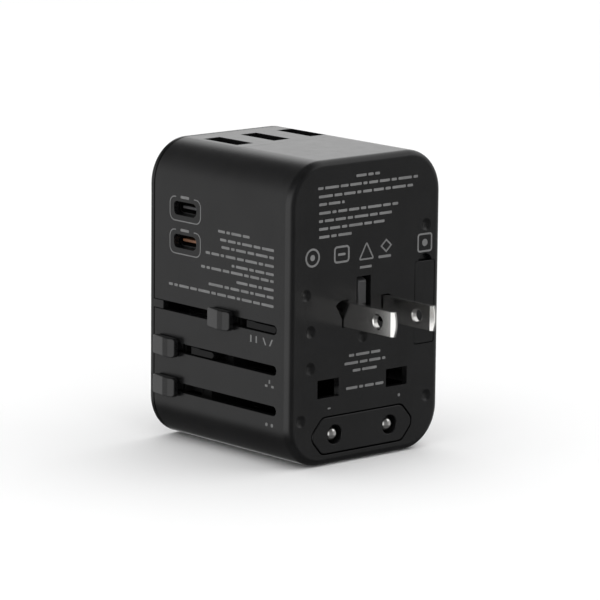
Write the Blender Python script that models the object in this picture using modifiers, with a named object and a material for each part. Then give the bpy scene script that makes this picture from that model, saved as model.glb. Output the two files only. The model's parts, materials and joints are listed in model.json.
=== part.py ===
"""Universal travel adapter: housing, three sliding plug sets, universal socket and USB charger.

The adapter stands on its base. +Z is up, the plug face looks along -Y, the socket face along +Y
and the slider side along -X. The origin is the middle of the base. Sizes below are in
millimetres, and MM turns them into metres. At rest the US blades are out and the UK and EU
plugs are in.
"""
import math

import bmesh
import bpy
from mathutils import Matrix, Vector

MM = 0.001

# Housing
BODY_W = 49.2
BODY_D = 52.1
BODY_H = 74.5
CORNER_R = 10.7
FACE_EDGE_R = 1.95
WALL = 1.8
COVER_T = 1.3
GAP = 0.3
HALF_W = BODY_W / 2
FACE_Y = -BODY_D / 2
BACK_Y = BODY_D / 2
SEAM_Y = BACK_Y - COVER_T
FACE_IN = FACE_Y + WALL
SIDE_IN = HALF_W - WALL

# Sliders on the -X side
SLOT_H = 2.3
SLOT_END = -21.6
SLOT_Z = {"us": 34.0, "uk": 24.1, "eu": 14.2}
TRAVEL = {"us": 20.8, "uk": 23.2, "eu": 29.6}
KNOB_IN_Y = 19.05
KNOB_L = 8.7
KNOB_H = 4.8
KNOB_LIFT = 0.6
FLANGE_HALF_L = 3.3
LUG_T = 0.8
LUG_OFFSET = 3.65
SPRING_HALF_L = 2.8
SPRING_BOW = 0.9
SPRING_T = 0.15
STRIP_OUT_X = -24.45
STRIP_SPAN = {"us": (8.3, 19.5), "uk": (8.3, 17.1)}
ARM_X = (-20.0, -18.0)
CARRIER_T = 3.4
CARRIER_OUT_Y = -23.4

# US and AU blades, which turn about an axis along Y
BLADE_X = -0.26
BLADE_HALF_SPACING = 6.35
BLADE_T = 1.5
BLADE_Z = (33.55, 39.85)
BLADE_PIVOT_Z = 35.7
BLADE_REACH = 18.2
BLADE_SWING = 30.0
BLADE_BULGE = 0.35
BLADE_HOLE_R = 1.6
BLADE_HOLE_OFFSET = 5.8
SHANK_R = 2.0
COLLAR_R = 2.8
COLLAR_T = 0.8

# UK pins
PIN_X = -0.7
UK_HALF_SPACING = 11.12
UK_PIN_Z = 19.04
UK_PIN = (6.3, 3.85)
UK_HOLE = (6.9, 4.45)
UK_REACH = 17.7
EARTH_Z = 41.15
EARTH_PIN = (4.0, 7.7)
EARTH_HOLE = (4.65, 8.3)
EARTH_REACH = 22.73
TANG = 2.2

# EU pins and the hexagonal block that carries them
EU_HALF_SPACING = 8.95
EU_Z = 7.42
EU_PIN_R = 2.0
EU_HOLE_R = 2.4
EU_TIP_Y = -25.85
EU_ROOT_R = 1.5
EU_CARRIER_Y = (8.0, 12.0)
BLOCK_HALF_W = 17.4
BLOCK_FLAT = 12.9
BLOCK_HALF_H = 4.45
BLOCK_CORNER_R = 2.2
BLOCK_L = 14.0
BLOCK_CLEARANCE = 0.35

# Universal socket on the +Y side
SOCKET_Z = 25.0
SOCKET_EARTH_Z = SOCKET_Z + 22.2
SOCKET_BLOCK_Y = (5.2, 21.8)
POCKET_X = (4.0, 15.0)
CONTACT_X = (4.3, 14.7)
LEAF_T = 0.5
SPRING_Z = (3.5, 13.5)
SPRING_TURNS = 6
COVER_SCREW_X = 8.0
COVER_SCREW_Z = 55.0
LIGHT_X = -14.0
LIGHT_Z = 40.0

# Fuses, 5 x 20 mm
FUSE_R = 2.6
FUSE_L = 19.8
DOOR_X = (16.2, 22.35)
DOOR_Z = (26.5, 46.7)
DRAWER_X = 14.0
DRAWER_Z = 40.0
MAIN_FUSE_Y = 13.95
SPARE_FUSE_Y = -21.4

# Charger
USB_A_X = (-11.08, 0.85, 12.78)
USB_A_Y = 12.72
USB_A_MOUTH = (4.9, 12.1)
USB_C_Y = 12.89
USB_C_Z = {"upper": 58.85, "lower": 50.7}
USB_C_MOUTH = (8.6, 3.2)
PANEL_HALF_W = 15.6
PANEL_Y = 2.75
BOARD_Z = (59.0, 60.2)
BOARD_SCREWS_X = (-5.1, 6.8)
BOARD_SCREWS_Y = 12.0
PART_TOP_Z = 71.5

DIMPLES = ((-19.2, 42.5), (-17.7, 33.5), (-17.7, 24.5), (-0.9, 30.5),
           (-20.6, 12.0), (20.3, 13.1), (19.5, 55.8))
DIMPLE_R = 1.5
DIMPLE_DEPTH = 0.4

PALETTE = {
    "black_plastic": ((0.018, 0.018, 0.019), 0.42, 0.0),
    "grey_plastic": ((0.045, 0.045, 0.047), 0.5, 0.0),
    "white_plastic": ((0.62, 0.61, 0.58), 0.45, 0.0),
    "orange_plastic": ((0.55, 0.2, 0.06), 0.5, 0.0),
    "nickel": ((0.66, 0.65, 0.63), 0.22, 1.0),
    "brass": ((0.72, 0.5, 0.2), 0.3, 1.0),
    "coated_brass": ((0.02, 0.02, 0.02), 0.5, 0.0),
    "steel": ((0.5, 0.5, 0.5), 0.35, 1.0),
    "circuit_board": ((0.02, 0.11, 0.05), 0.5, 0.0),
    "ferrite": ((0.05, 0.05, 0.055), 0.6, 0.0),
    "ceramic": ((0.75, 0.74, 0.7), 0.4, 0.0),
    "light_pipe": ((0.7, 0.8, 0.85), 0.2, 0.0),
}


# ---------------------------------------------------------------- scene helpers
def clear_scene():
    for item in list(bpy.data.objects):
        bpy.data.objects.remove(item, do_unlink=True)
    for group in list(bpy.data.collections):
        bpy.data.collections.remove(group)


def make_collection(name):
    group = bpy.data.collections.new(name)
    bpy.context.scene.collection.children.link(group)
    return group


def make_material(name, finish):
    colour, roughness, metallic = PALETTE[finish]
    item = bpy.data.materials.new(name)
    item.use_nodes = True
    shader = item.node_tree.nodes["Principled BSDF"]
    shader.inputs["Base Color"].default_value = (*colour, 1.0)
    shader.inputs["Roughness"].default_value = roughness
    shader.inputs["Metallic"].default_value = metallic
    return item


def add_object(name, mesh, finish=None):
    """Put a mesh in the scene, as a part when it has a finish and as a cutter when it has none."""
    item = bpy.data.objects.new(name, mesh)
    if finish is None:
        CUTTERS.objects.link(item)
        item.hide_render = True
        item.display_type = "WIRE"
    else:
        PARTS.objects.link(item)
        mesh.materials.append(make_material(name, finish))
    return item


def boolean(target, operation, tools):
    for tool in tools:
        step = target.modifiers.new(tool.name, "BOOLEAN")
        step.operation = operation
        step.solver = "EXACT"
        step.object = tool


def cut(target, *tools):
    boolean(target, "DIFFERENCE", tools)


def join(target, *tools):
    boolean(target, "UNION", tools)


def hang_on(parent_name, point, *children):
    """Give moving pieces an empty on their joint's axis, which they are parented to."""
    pivot = bpy.data.objects.new(parent_name, None)
    PARTS.objects.link(pivot)
    pivot.location = Vector(point) * MM
    pivot.empty_display_size = 2 * MM
    for child in children:
        child.parent = pivot
        child.matrix_parent_inverse = Matrix.Translation(-pivot.location)
    return pivot


# ---------------------------------------------------------------- shape helpers, millimetres
AXIS_FRAMES = {
    "X": Matrix(((0, 0, 1), (1, 0, 0), (0, 1, 0))),
    "Y": Matrix(((1, 0, 0), (0, 0, -1), (0, 1, 0))),
    "Z": Matrix.Identity(3),
}


def box(name, low, high, finish=None):
    """A block between two corners."""
    shape = bmesh.new()
    bmesh.ops.create_cube(shape, size=1.0)
    low, high = Vector(low), Vector(high)
    size = high - low
    for vert in shape.verts:
        vert.co = Vector((vert.co[i] * size[i] + (low[i] + high[i]) / 2 for i in range(3))) * MM
    mesh = bpy.data.meshes.new(name)
    shape.to_mesh(mesh)
    shape.free()
    return add_object(name, mesh, finish)


def cylinder(name, axis, centre, radius, length, finish=None, sides=24):
    """A round bar with its centre and its axis given."""
    shape = bmesh.new()
    bmesh.ops.create_cone(shape, cap_ends=True, segments=sides, radius1=radius * MM, radius2=radius * MM,
                          depth=length * MM)
    bmesh.ops.transform(shape, matrix=AXIS_FRAMES[axis].to_4x4(), verts=shape.verts)
    bmesh.ops.translate(shape, vec=Vector(centre) * MM, verts=shape.verts)
    mesh = bpy.data.meshes.new(name)
    shape.to_mesh(mesh)
    shape.free()
    return add_object(name, mesh, finish)


def slab(name, axis, outline, start, end, finish=None):
    """A flat outline, given across the axis, filled and extruded from start to end along it.

    The outline lies in (Y, Z) for axis X, in (X, Z) for axis Y and in (X, Y) for axis Z.
    """
    curve = bpy.data.curves.new(name, "CURVE")
    curve.dimensions = "2D"
    curve.fill_mode = "BOTH"
    curve.extrude = abs(end - start) / 2 * MM
    spline = curve.splines.new("POLY")
    spline.points.add(len(outline) - 1)
    for point, (u, v) in zip(spline.points, outline):
        point.co = (u * MM, v * MM, 0, 1)
    spline.use_cyclic_u = True
    flat = bpy.data.objects.new(name + "_outline", curve)
    CUTTERS.objects.link(flat)
    bpy.context.view_layer.update()
    graph = bpy.context.evaluated_depsgraph_get()
    mesh = bpy.data.meshes.new_from_object(flat.evaluated_get(graph))
    bpy.data.objects.remove(flat)
    middle = (start + end) / 2
    offset = Vector([middle * MM if "XYZ"[i] == axis else 0 for i in range(3)])
    shape = bmesh.new()
    shape.from_mesh(mesh)
    bmesh.ops.remove_doubles(shape, verts=shape.verts, dist=1e-7)
    bmesh.ops.transform(shape, matrix=AXIS_FRAMES[axis].to_4x4(), verts=shape.verts)
    bmesh.ops.translate(shape, vec=offset, verts=shape.verts)
    bmesh.ops.recalc_face_normals(shape, faces=shape.faces)
    mesh.clear_geometry()
    shape.to_mesh(mesh)
    shape.free()
    mesh.name = name
    return add_object(name, mesh, finish)


def turned(name, axis, origin, profile, finish=None, steps=24):
    """A profile of (radius, height) points, from top to bottom, turned about an axis."""
    mesh = bpy.data.meshes.new(name)
    verts = [(radius * MM, 0, height * MM) for radius, height in profile]
    edges = [(i, i + 1) for i in range(len(verts) - 1)]
    mesh.from_pydata(verts, edges, [])
    item = add_object(name, mesh, finish)
    turn = item.modifiers.new("turn", "SCREW")
    turn.steps = steps
    turn.render_steps = steps
    turn.use_merge_vertices = True
    turn.merge_threshold = 1e-6
    item.matrix_world = Matrix.Translation(Vector(origin) * MM) @ AXIS_FRAMES[axis].to_4x4()
    return item


def rounded(corners, radius, steps=5):
    """Round every corner of a convex outline with an arc."""
    points = []
    for i, corner in enumerate(corners):
        here = Vector(corner)
        before = (Vector(corners[i - 1]) - here).normalized()
        after = (Vector(corners[(i + 1) % len(corners)]) - here).normalized()
        half = before.angle(after) / 2
        reach = radius / math.tan(half)
        centre = here + (before + after).normalized() * radius / math.sin(half)
        start = here + before * reach - centre
        turn = start.angle_signed(here + after * reach - centre)
        for k in range(steps + 1):
            spoke = start.copy()
            spoke.rotate(Matrix.Rotation(-turn * k / steps, 2))
            points.append(tuple(centre + spoke))
    return points


def rectangle(width, height, centre=(0, 0)):
    u, v = centre
    return [(u - width / 2, v - height / 2), (u + width / 2, v - height / 2),
            (u + width / 2, v + height / 2), (u - width / 2, v + height / 2)]


def body_outline(steps=10):
    """The body's section across Y."""
    return rounded(rectangle(BODY_W, BODY_H, (0, BODY_H / 2)), CORNER_R, steps)


def hexagon(grow=0.0):
    """The EU block's flattened hexagon, grown on every side."""
    wide = BLOCK_HALF_W + grow
    flat = BLOCK_FLAT + grow * 0.6
    tall = BLOCK_HALF_H + grow
    corners = [(-wide, 0), (-flat, -tall), (flat, -tall), (wide, 0), (flat, tall), (-flat, tall)]
    return rounded([(PIN_X + u, EU_Z + v) for u, v in corners], BLOCK_CORNER_R, 4)


def fan(side):
    """The hole that a blade turns in: its section swept about the pivot from 0 to 30 degrees."""
    half = BLADE_T / 2 + GAP
    up = BLADE_Z[1] - BLADE_PIVOT_Z + 0.25
    down = BLADE_PIVOT_Z - BLADE_Z[0] + 0.25
    pivot = Vector((BLADE_X + side * BLADE_HALF_SPACING, BLADE_PIVOT_Z))
    swing = math.radians(BLADE_SWING)
    cutters = []
    for label, height, outward in (("upper", up, side), ("lower", -down, -side)):
        points = [Vector((-outward * half, 0)), Vector((-outward * half, height))]
        for k in range(7):
            corner = Vector((outward * half, height))
            turn = swing * k / 6 * (-outward if height > 0 else outward)
            corner.rotate(Matrix.Rotation(turn, 2))
            points.append(corner)
        corner = Vector((outward * half, 0))
        corner.rotate(Matrix.Rotation(swing * (-outward if height > 0 else outward), 2))
        points.append(corner)
        outline = [tuple(pivot + point) for point in points]
        cutters.append(slab(f"fan_{label}_{side}", "Y", outline, FACE_Y - 1, FACE_IN + 1))
    straight = rectangle(2 * half, up + down, (pivot.x, pivot.y + (up - down) / 2))
    cutters.append(slab(f"fan_slot_{side}", "Y", straight, FACE_Y - 1, FACE_IN + 1))
    return cutters


# ---------------------------------------------------------------- housing
def make_housing():
    """The four walls and the plug face: an open shell, thickened inwards."""
    outline = body_outline()
    shape = bmesh.new()
    front = [shape.verts.new((u * MM, FACE_Y * MM, v * MM)) for u, v in outline]
    back = [shape.verts.new((u * MM, (SEAM_Y - GAP / 2) * MM, v * MM)) for u, v in outline]
    shape.faces.new(front)
    for i in range(len(outline)):
        j = (i + 1) % len(outline)
        shape.faces.new((front[i], back[i], back[j], front[j]))
    bmesh.ops.recalc_face_normals(shape, faces=shape.faces)
    if sum((face.calc_center_median().dot(face.normal) for face in shape.faces)) < 0:
        bmesh.ops.reverse_faces(shape, faces=shape.faces)
    mesh = bpy.data.meshes.new("main_housing")
    shape.to_mesh(mesh)
    shape.free()
    housing = add_object("main_housing", mesh, "black_plastic")
    edge = housing.modifiers.new("face_edge", "BEVEL")
    edge.limit_method = "ANGLE"
    edge.angle_limit = math.radians(40)
    edge.width = FACE_EDGE_R * MM
    edge.segments = 4
    wall = housing.modifiers.new("wall", "SOLIDIFY")
    wall.thickness = WALL * MM
    wall.offset = -1
    wall.use_even_offset = True
    join(housing, box("fuse_well", (15.4, FACE_IN - 0.6, 25.4), (23.6, -17.3, 47.9)))
    cut(housing, *slot_cutters(), *face_cutters(), *top_cutters())
    return housing


def slot_cutters():
    """Three slots in the slider side, open towards the socket cover."""
    cutters = []
    radius = SLOT_H / 2
    for name, height in SLOT_Z.items():
        outline = [(SEAM_Y + 2, height - radius), (SEAM_Y + 2, height + radius)]
        for k in range(9):
            angle = math.pi * k / 8
            point_y = SLOT_END + radius - radius * math.sin(angle)
            outline.append((point_y, height + radius * math.cos(angle)))
        cutters.append(slab(f"{name}_slot", "X", outline, -HALF_W - 1, -SIDE_IN + 1))
    for name, height in USB_C_Z.items():
        mouth = rounded(rectangle(*USB_C_MOUTH, (USB_C_Y, height)), 1.2, 4)
        cutters.append(slab(f"usb_c_mouth_{name}", "X", mouth, -HALF_W - 1, -SIDE_IN + 1))
    return cutters


def face_cutters():
    """Holes for the pins and blades, the EU block, the spare-fuse pocket and the dimples."""
    front, through = FACE_Y - 1, FACE_IN + 1
    cutters = fan(-1) + fan(1)
    for name, side in (("live", -1), ("neutral", 1)):
        hole = rectangle(*UK_HOLE, (PIN_X + side * UK_HALF_SPACING, UK_PIN_Z))
        cutters.append(slab(f"uk_hole_{name}", "Y", hole, front, through))
    cutters.append(slab("uk_hole_earth", "Y", rectangle(*EARTH_HOLE, (PIN_X, EARTH_Z)), front, through))
    cutters.append(slab("block_hole", "Y", hexagon(BLOCK_CLEARANCE), front, through))
    cutters.append(box("fuse_pocket", (16.6, front, 26.55), (22.1, -18.5, 46.75)))
    cutters.append(box("door_recess", (DOOR_X[0] - GAP, front, DOOR_Z[0] - GAP),
                       (DOOR_X[1] + GAP, FACE_Y + 1.9, DOOR_Z[1] + GAP)))
    notch = (sum(DOOR_X) / 2, FACE_Y - 0.5, DOOR_Z[1] + GAP)
    cutters.append(cylinder("thumb_notch", "Y", notch, 2.0, 3.0))
    for i, (u, v) in enumerate(DIMPLES):
        place = (u, FACE_Y - 1 + DIMPLE_DEPTH / 2, v)
        cutters.append(cylinder(f"dimple_{i}", "Y", place, DIMPLE_R, 2 + DIMPLE_DEPTH, sides=16))
    return cutters


def top_cutters():
    low = (-PANEL_HALF_W - GAP, PANEL_Y - GAP, BODY_H - WALL - 1)
    high = (PANEL_HALF_W + GAP, BACK_Y + 1, BODY_H + 1)
    return [box("panel_opening", low, high)]


def make_usb_a_panel():
    """The top insert around the three USB-A ports. Its surface follows the body's roll."""
    thick = 1.6
    low = (-PANEL_HALF_W, PANEL_Y, BODY_H - thick)
    high = (PANEL_HALF_W, SEAM_Y - GAP / 2, BODY_H + 1)
    panel = box("usb_a_panel", low, high, "black_plastic")
    form = slab("body_form", "Y", body_outline(), FACE_Y, BACK_Y)
    boolean(panel, "INTERSECT", [form])
    for i, centre in enumerate(USB_A_X):
        mouth = rectangle(*USB_A_MOUTH, (centre, USB_A_Y))
        cut(panel, slab(f"usb_a_mouth_{i}", "Z", mouth, BODY_H - thick - 1, BODY_H + 1))


def socket_holes(side):
    """One pole of the universal socket: UK, EU, US and AU openings that run into each other."""
    span = (SEAM_Y - 1, BACK_Y + 1)
    tilt = Matrix.Rotation(math.radians(-30 * side), 2)
    slanted = []
    for u, v in rectangle(2.2, 7.2):
        point = Vector((u, v))
        point.rotate(tilt)
        slanted.append((point.x + side * 7.0, point.y + SOCKET_Z - 0.2))
    label = "neutral" if side > 0 else "live"
    uk = rectangle(7.4, 4.7, (side * 11.1, SOCKET_Z))
    us = rectangle(2.0, 7.3, (side * 6.35, SOCKET_Z))
    return [slab(f"socket_uk_{label}", "Y", uk, *span), slab(f"socket_us_{label}", "Y", us, *span),
            slab(f"socket_au_{label}", "Y", slanted, *span),
            cylinder(f"socket_eu_{label}", "Y", (side * 9.5, BACK_Y, SOCKET_Z), 2.6, 6.0)]


def make_socket_cover():
    """The socket face, with tongues that close the slots, pegs, screw posts and shutter guides."""
    inner = SEAM_Y + GAP / 2
    rooted = inner + 0.6
    cover = slab("socket_cover", "Y", body_outline(), inner, BACK_Y, "black_plastic")
    extras = []
    for name, height in SLOT_Z.items():
        low = (-HALF_W + 0.05, 21.2, height - SLOT_H / 2 + GAP)
        extras.append(box(f"{name}_tongue", low, (-SIDE_IN, rooted, height + SLOT_H / 2 - GAP)))
    for side in (-1, 1):
        for level in (6.0, 68.5):
            place = (side * 18.0, (20.5 + rooted) / 2, level)
            extras.append(cylinder(f"peg_{side}_{level:.0f}", "Y", place, 1.6, rooted - 20.5, sides=12))
        post = (side * COVER_SCREW_X, (22.1 + rooted) / 2, COVER_SCREW_Z)
        extras.append(cylinder(f"post_{side}", "Y", post, 2.6, rooted - 22.1, sides=16))
        inner_x, outer_x = sorted((side * 16.3, side * 17.4))
        extras.append(box(f"shutter_guide_{side}", (inner_x, 21.9, 12.5), (outer_x, rooted, 29.5)))
    extras.append(box("spring_seat", (-3, 21.0, 2.1), (3, rooted, 3.0)))
    join(cover, *extras)
    holes = socket_holes(-1) + socket_holes(1)
    earth = rectangle(5.0, 8.8, (0, SOCKET_EARTH_Z))
    holes.append(slab("socket_uk_earth", "Y", earth, SEAM_Y - 1, BACK_Y + 1))
    drawer_hole = rectangle(8.6, 8.6, (DRAWER_X, DRAWER_Z))
    holes.append(slab("drawer_hole", "Y", drawer_hole, SEAM_Y - 1, BACK_Y + 1))
    holes.append(cylinder("light_hole", "Y", (LIGHT_X, BACK_Y, LIGHT_Z), 1.8, 6.0, sides=16))
    for side in (-1, 1):
        place = (side * COVER_SCREW_X, 22.9, COVER_SCREW_Z)
        holes.append(cylinder(f"post_hole_{side}", "Y", place, 1.2, 4.0, sides=12))
    cut(cover, *holes)


# ---------------------------------------------------------------- fuses
def fuse(name, centre, axis):
    """A 5 x 20 mm fuse: a ceramic tube between two slightly wider caps."""
    half = FUSE_L / 2
    cap = half - 5.0
    upper = [(0, half), (FUSE_R - 0.3, half), (FUSE_R, half - 0.3), (FUSE_R, cap), (FUSE_R - 0.25, cap)]
    lower = [(radius, -height) for radius, height in reversed(upper)]
    return turned(name, axis, centre, upper + lower, "ceramic", 20)


def make_spare_fuse():
    door_low = (DOOR_X[0], FACE_Y, DOOR_Z[0])
    door = box("spare_fuse_door", door_low, (DOOR_X[1], FACE_Y + 1.6, DOOR_Z[1]), "black_plastic")
    hang_on("spare_fuse_door_slide", door_low, door)
    fuse("spare_fuse", (sum(DOOR_X) / 2, SPARE_FUSE_Y, sum(DOOR_Z) / 2), "Z")


def make_main_fuse():
    """The working fuse lies in a drawer that pulls out of the socket face."""
    x, z = DRAWER_X, DRAWER_Z
    holder = box("fuse_holder", (x - 4.3, 1.5, z - 4.3), (x + 4.3, 23.9, z + 4.3), "grey_plastic")
    cut(holder, box("drawer_channel", (x - 3.75, 2.7, z - 3.75), (x + 3.75, 25, z + 3.75)))
    drawer = box("fuse_drawer", (x - 4, SEAM_Y - GAP / 2, z - 4), (x + 4, BACK_Y, z + 4), "black_plastic")
    join(drawer, box("drawer_cradle", (x - 3.4, 3.2, z - 3.4), (x + 3.4, SEAM_Y + 0.5, z - 0.2)))
    cut(drawer, cylinder("drawer_trough", "Y", (x, MAIN_FUSE_Y, z), FUSE_R + 0.35, FUSE_L + 0.5))
    working = fuse("main_fuse", (x, MAIN_FUSE_Y, z), "Y")
    hang_on("fuse_drawer_slide", (x, BACK_Y, z), drawer, working)


# ---------------------------------------------------------------- sliders
def knob_profile(y):
    """The knob's outer face in (X, Y): a ramp, a flat and a raised grip, from socket to plug side."""
    wall = -HALF_W
    half = KNOB_L / 2
    heights = ((half, KNOB_LIFT), (half, 1.35), (half - 0.3, 1.5), (-0.5, 2.35), (-2.5, 2.35),
               (-half + 0.3, 1.8), (-half, 1.6), (-half, KNOB_LIFT))
    return [(wall - lift, y + along) for along, lift in heights]


def make_knob(name, y):
    """A cap outside the wall, a stem through the slot and a flange behind the wall."""
    z = SLOT_Z[name]
    knob = slab(f"{name}_knob", "Z", knob_profile(y), z - KNOB_H / 2, z + KNOB_H / 2, "grey_plastic")
    stem_low = (-HALF_W - KNOB_LIFT - 0.3, y - 3.0, z - SLOT_H / 2 + GAP)
    stem = box(f"{name}_stem", stem_low, (-21.9, y + 1.6, z + SLOT_H / 2 - GAP))
    flange_low = (-22.5, y - FLANGE_HALF_L, z - 2.0)
    flange = box(f"{name}_flange", flange_low, (-21.7, y + FLANGE_HALF_L, z + 2.0))
    join(knob, stem, flange)
    return hang_on(f"{name}_knob_press", (-HALF_W, y, z), knob)


def make_knob_spring(name, y):
    """A bowed leaf between the knob's flange and the carrier's arm."""
    z = SLOT_Z[name]
    outer, inner = [], []
    foot = ARM_X[0] - GAP
    for k in range(9):
        part = -1 + 2 * k / 8
        along = y + SPRING_HALF_L * part
        bow = SPRING_BOW * (1 - part ** 2)
        outer.append((foot - SPRING_T - bow, along))
        inner.append((foot - bow, along))
    return slab(f"{name}_knob_spring", "Z", outer + inner[::-1], z - 0.8, z + 0.8, "steel")


def arm_boxes(name, y, start):
    """A carrier's arm behind the slot, up to the knob, with a lug on each side of the flange."""
    z = SLOT_Z[name]
    far = LUG_OFFSET + LUG_T
    boxes = [box(f"{name}_arm", (ARM_X[0], start, z - 1.4), (ARM_X[1], y + far, z + 1.4))]
    for label, low, high in (("socket", LUG_OFFSET, far), ("plug", -far, -LUG_OFFSET)):
        lug_low = (-22.3, y + low, z - 1.2)
        boxes.append(box(f"{name}_{label}_lug", lug_low, (ARM_X[0] + 0.5, y + high, z + 1.2)))
    return boxes


def make_strip(name, y):
    """The strip that fills the slot ahead of the knob: flat towards the knob, round at its tip."""
    z = SLOT_Z[name]
    half = SLOT_H / 2 - GAP
    start, end = STRIP_SPAN[name]
    outline = [(y - start, z - half), (y - start, z + half)]
    for k in range(9):
        angle = math.pi * k / 8
        outline.append((y - end + half - half * math.sin(angle), z + half * math.cos(angle)))
    return slab(f"{name}_slot_strip", "X", outline, STRIP_OUT_X, ARM_X[0] - GAP, "black_plastic")


def knob_y(name):
    """Where a set's knob stands at rest: the US set is out and the others are in."""
    return KNOB_IN_Y - (TRAVEL["us"] if name == "us" else 0)


def make_us_set():
    y = knob_y("us")
    front, back = CARRIER_OUT_Y, CARRIER_OUT_Y + CARRIER_T
    left, right = (BLADE_X + side * BLADE_HALF_SPACING for side in (-1, 1))
    carrier = box("us_carrier", (left - 3.8, front, 46.3), (right + 3.8, back, 49.6), "grey_plastic")
    legs = [box("us_left_leg", (left - 3.8, front, 32.6), (left + 3.3, back, 46.8)),
            box("us_right_leg", (right - 3.3, front, 32.6), (right + 3.8, back, 46.8)),
            box("us_cross_arm", (ARM_X[0] + 0.2, front, 32.8), (left - 3.0, back, 35.2))]
    join(carrier, *legs, *arm_boxes("us", y, back - 1))
    carried = [carrier, make_knob("us", y), make_knob_spring("us", y), make_strip("us", y)]
    for label, centre in (("left", left), ("right", right)):
        place = (centre, (front + back) / 2, BLADE_PIVOT_Z)
        cut(carrier, cylinder(f"us_bearing_{label}", "Y", place, SHANK_R + GAP, CARRIER_T + 2))
        carried.append(make_blade(label, centre))
    hang_on("us_slide", (-HALF_W, y, SLOT_Z["us"]), *carried)


def make_blade(label, centre):
    """A flat blade with a cross hole, on a round shank that turns in the carrier."""
    tip = FACE_Y - BLADE_REACH
    root = CARRIER_OUT_Y - GAP
    low, high = BLADE_Z
    middle = (low + high) / 2
    shoulder = tip + BLADE_BULGE + 0.5
    outline = [(root, low), (root, high), (shoulder, high)]
    for k in range(7):
        part = -1 + 2 * k / 6
        outline.append((tip + BLADE_BULGE * part * part, middle - part * (high - low - 0.9) / 2))
    outline.append((shoulder, low))
    blade = slab(f"us_blade_{label}", "X", outline, centre - BLADE_T / 2, centre + BLADE_T / 2, "nickel")
    shank_end = CARRIER_OUT_Y + CARRIER_T + 0.5
    start = root - 0.25
    length = shank_end - start
    shank_place = (centre, (start + shank_end) / 2, BLADE_PIVOT_Z)
    shank = cylinder(f"us_shank_{label}", "Y", shank_place, SHANK_R, length)
    collar_place = (centre, shank_end + 0.3, BLADE_PIVOT_Z)
    join(blade, shank, cylinder(f"us_collar_{label}", "Y", collar_place, COLLAR_R, COLLAR_T))
    hole_place = (centre, tip + BLADE_HOLE_OFFSET, middle)
    cut(blade, cylinder(f"us_blade_hole_{label}", "X", hole_place, BLADE_HOLE_R, 4, sides=20))
    return hang_on(f"us_blade_{label}_turn", (centre, tip, BLADE_PIVOT_Z), blade)


def make_uk_set():
    y = knob_y("uk")
    front = CARRIER_OUT_Y + TRAVEL["uk"]
    back = front + CARRIER_T
    carrier = box("uk_carrier", (-15.6, front, 16.2), (14.0, back, 22.0), "grey_plastic")
    web = box("uk_web", (PIN_X - 2, front, 21.5), (PIN_X + 2, back, 45.1))
    ear = box("uk_ear", (ARM_X[0] + 0.2, front, 20.0), (-15.0, back, 25.2))
    join(carrier, web, ear, *arm_boxes("uk", y, back - 1))
    pins = []
    for label, side in (("live", -1), ("neutral", 1)):
        place = (PIN_X + side * UK_HALF_SPACING, UK_PIN_Z)
        pins.append(uk_pin(f"uk_pin_{label}", place, UK_PIN, UK_REACH, "nickel"))
        cut(carrier, tang(f"uk_{label}_socket", place, front - 1, back + 1, 2 * GAP))
    pins.append(uk_pin("uk_pin_earth", (PIN_X, EARTH_Z), EARTH_PIN, EARTH_REACH, "black_plastic"))
    cut(carrier, tang("uk_earth_socket", (PIN_X, EARTH_Z), front - 1, back + 1, 2 * GAP))
    carried = [carrier, make_knob("uk", y), make_knob_spring("uk", y), make_strip("uk", y), *pins]
    hang_on("uk_slide", (-HALF_W, y, SLOT_Z["uk"]), *carried)


def tang(name, place, start, end, grow=0.0):
    """The square root of a UK pin, and the hole for it when it is grown."""
    return slab(name, "Y", rectangle(TANG + grow, TANG + grow, place), start, end)


def uk_pin(name, place, section, reach, finish):
    """A rectangular pin with a tapered tip and a square root in the carrier."""
    tip = FACE_Y - reach + TRAVEL["uk"]
    root = CARRIER_OUT_Y + TRAVEL["uk"] - GAP
    pin = slab(name, "Y", rectangle(*section, place), tip, root, finish)
    taper_deep, taper_side = (2.4, 0.9) if section[1] > section[0] else (1.4, 0.9)
    u, v = place
    low, high = v - section[1] / 2, v + section[1] / 2
    for label, edge, inward in (("low", low, 1), ("high", high, -1)):
        wedge = [(tip - 1, edge - inward), (tip - 1, edge + inward * taper_side),
                 (tip, edge + inward * taper_side), (tip + taper_deep, edge - inward * 0.001),
                 (tip + taper_deep, edge - inward)]
        cut(pin, slab(f"{name}_taper_{label}", "X", wedge, u - section[0], u + section[0]))
    join(pin, tang(f"{name}_tang", place, root - 0.5, root + GAP + CARRIER_T))
    return pin


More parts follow.
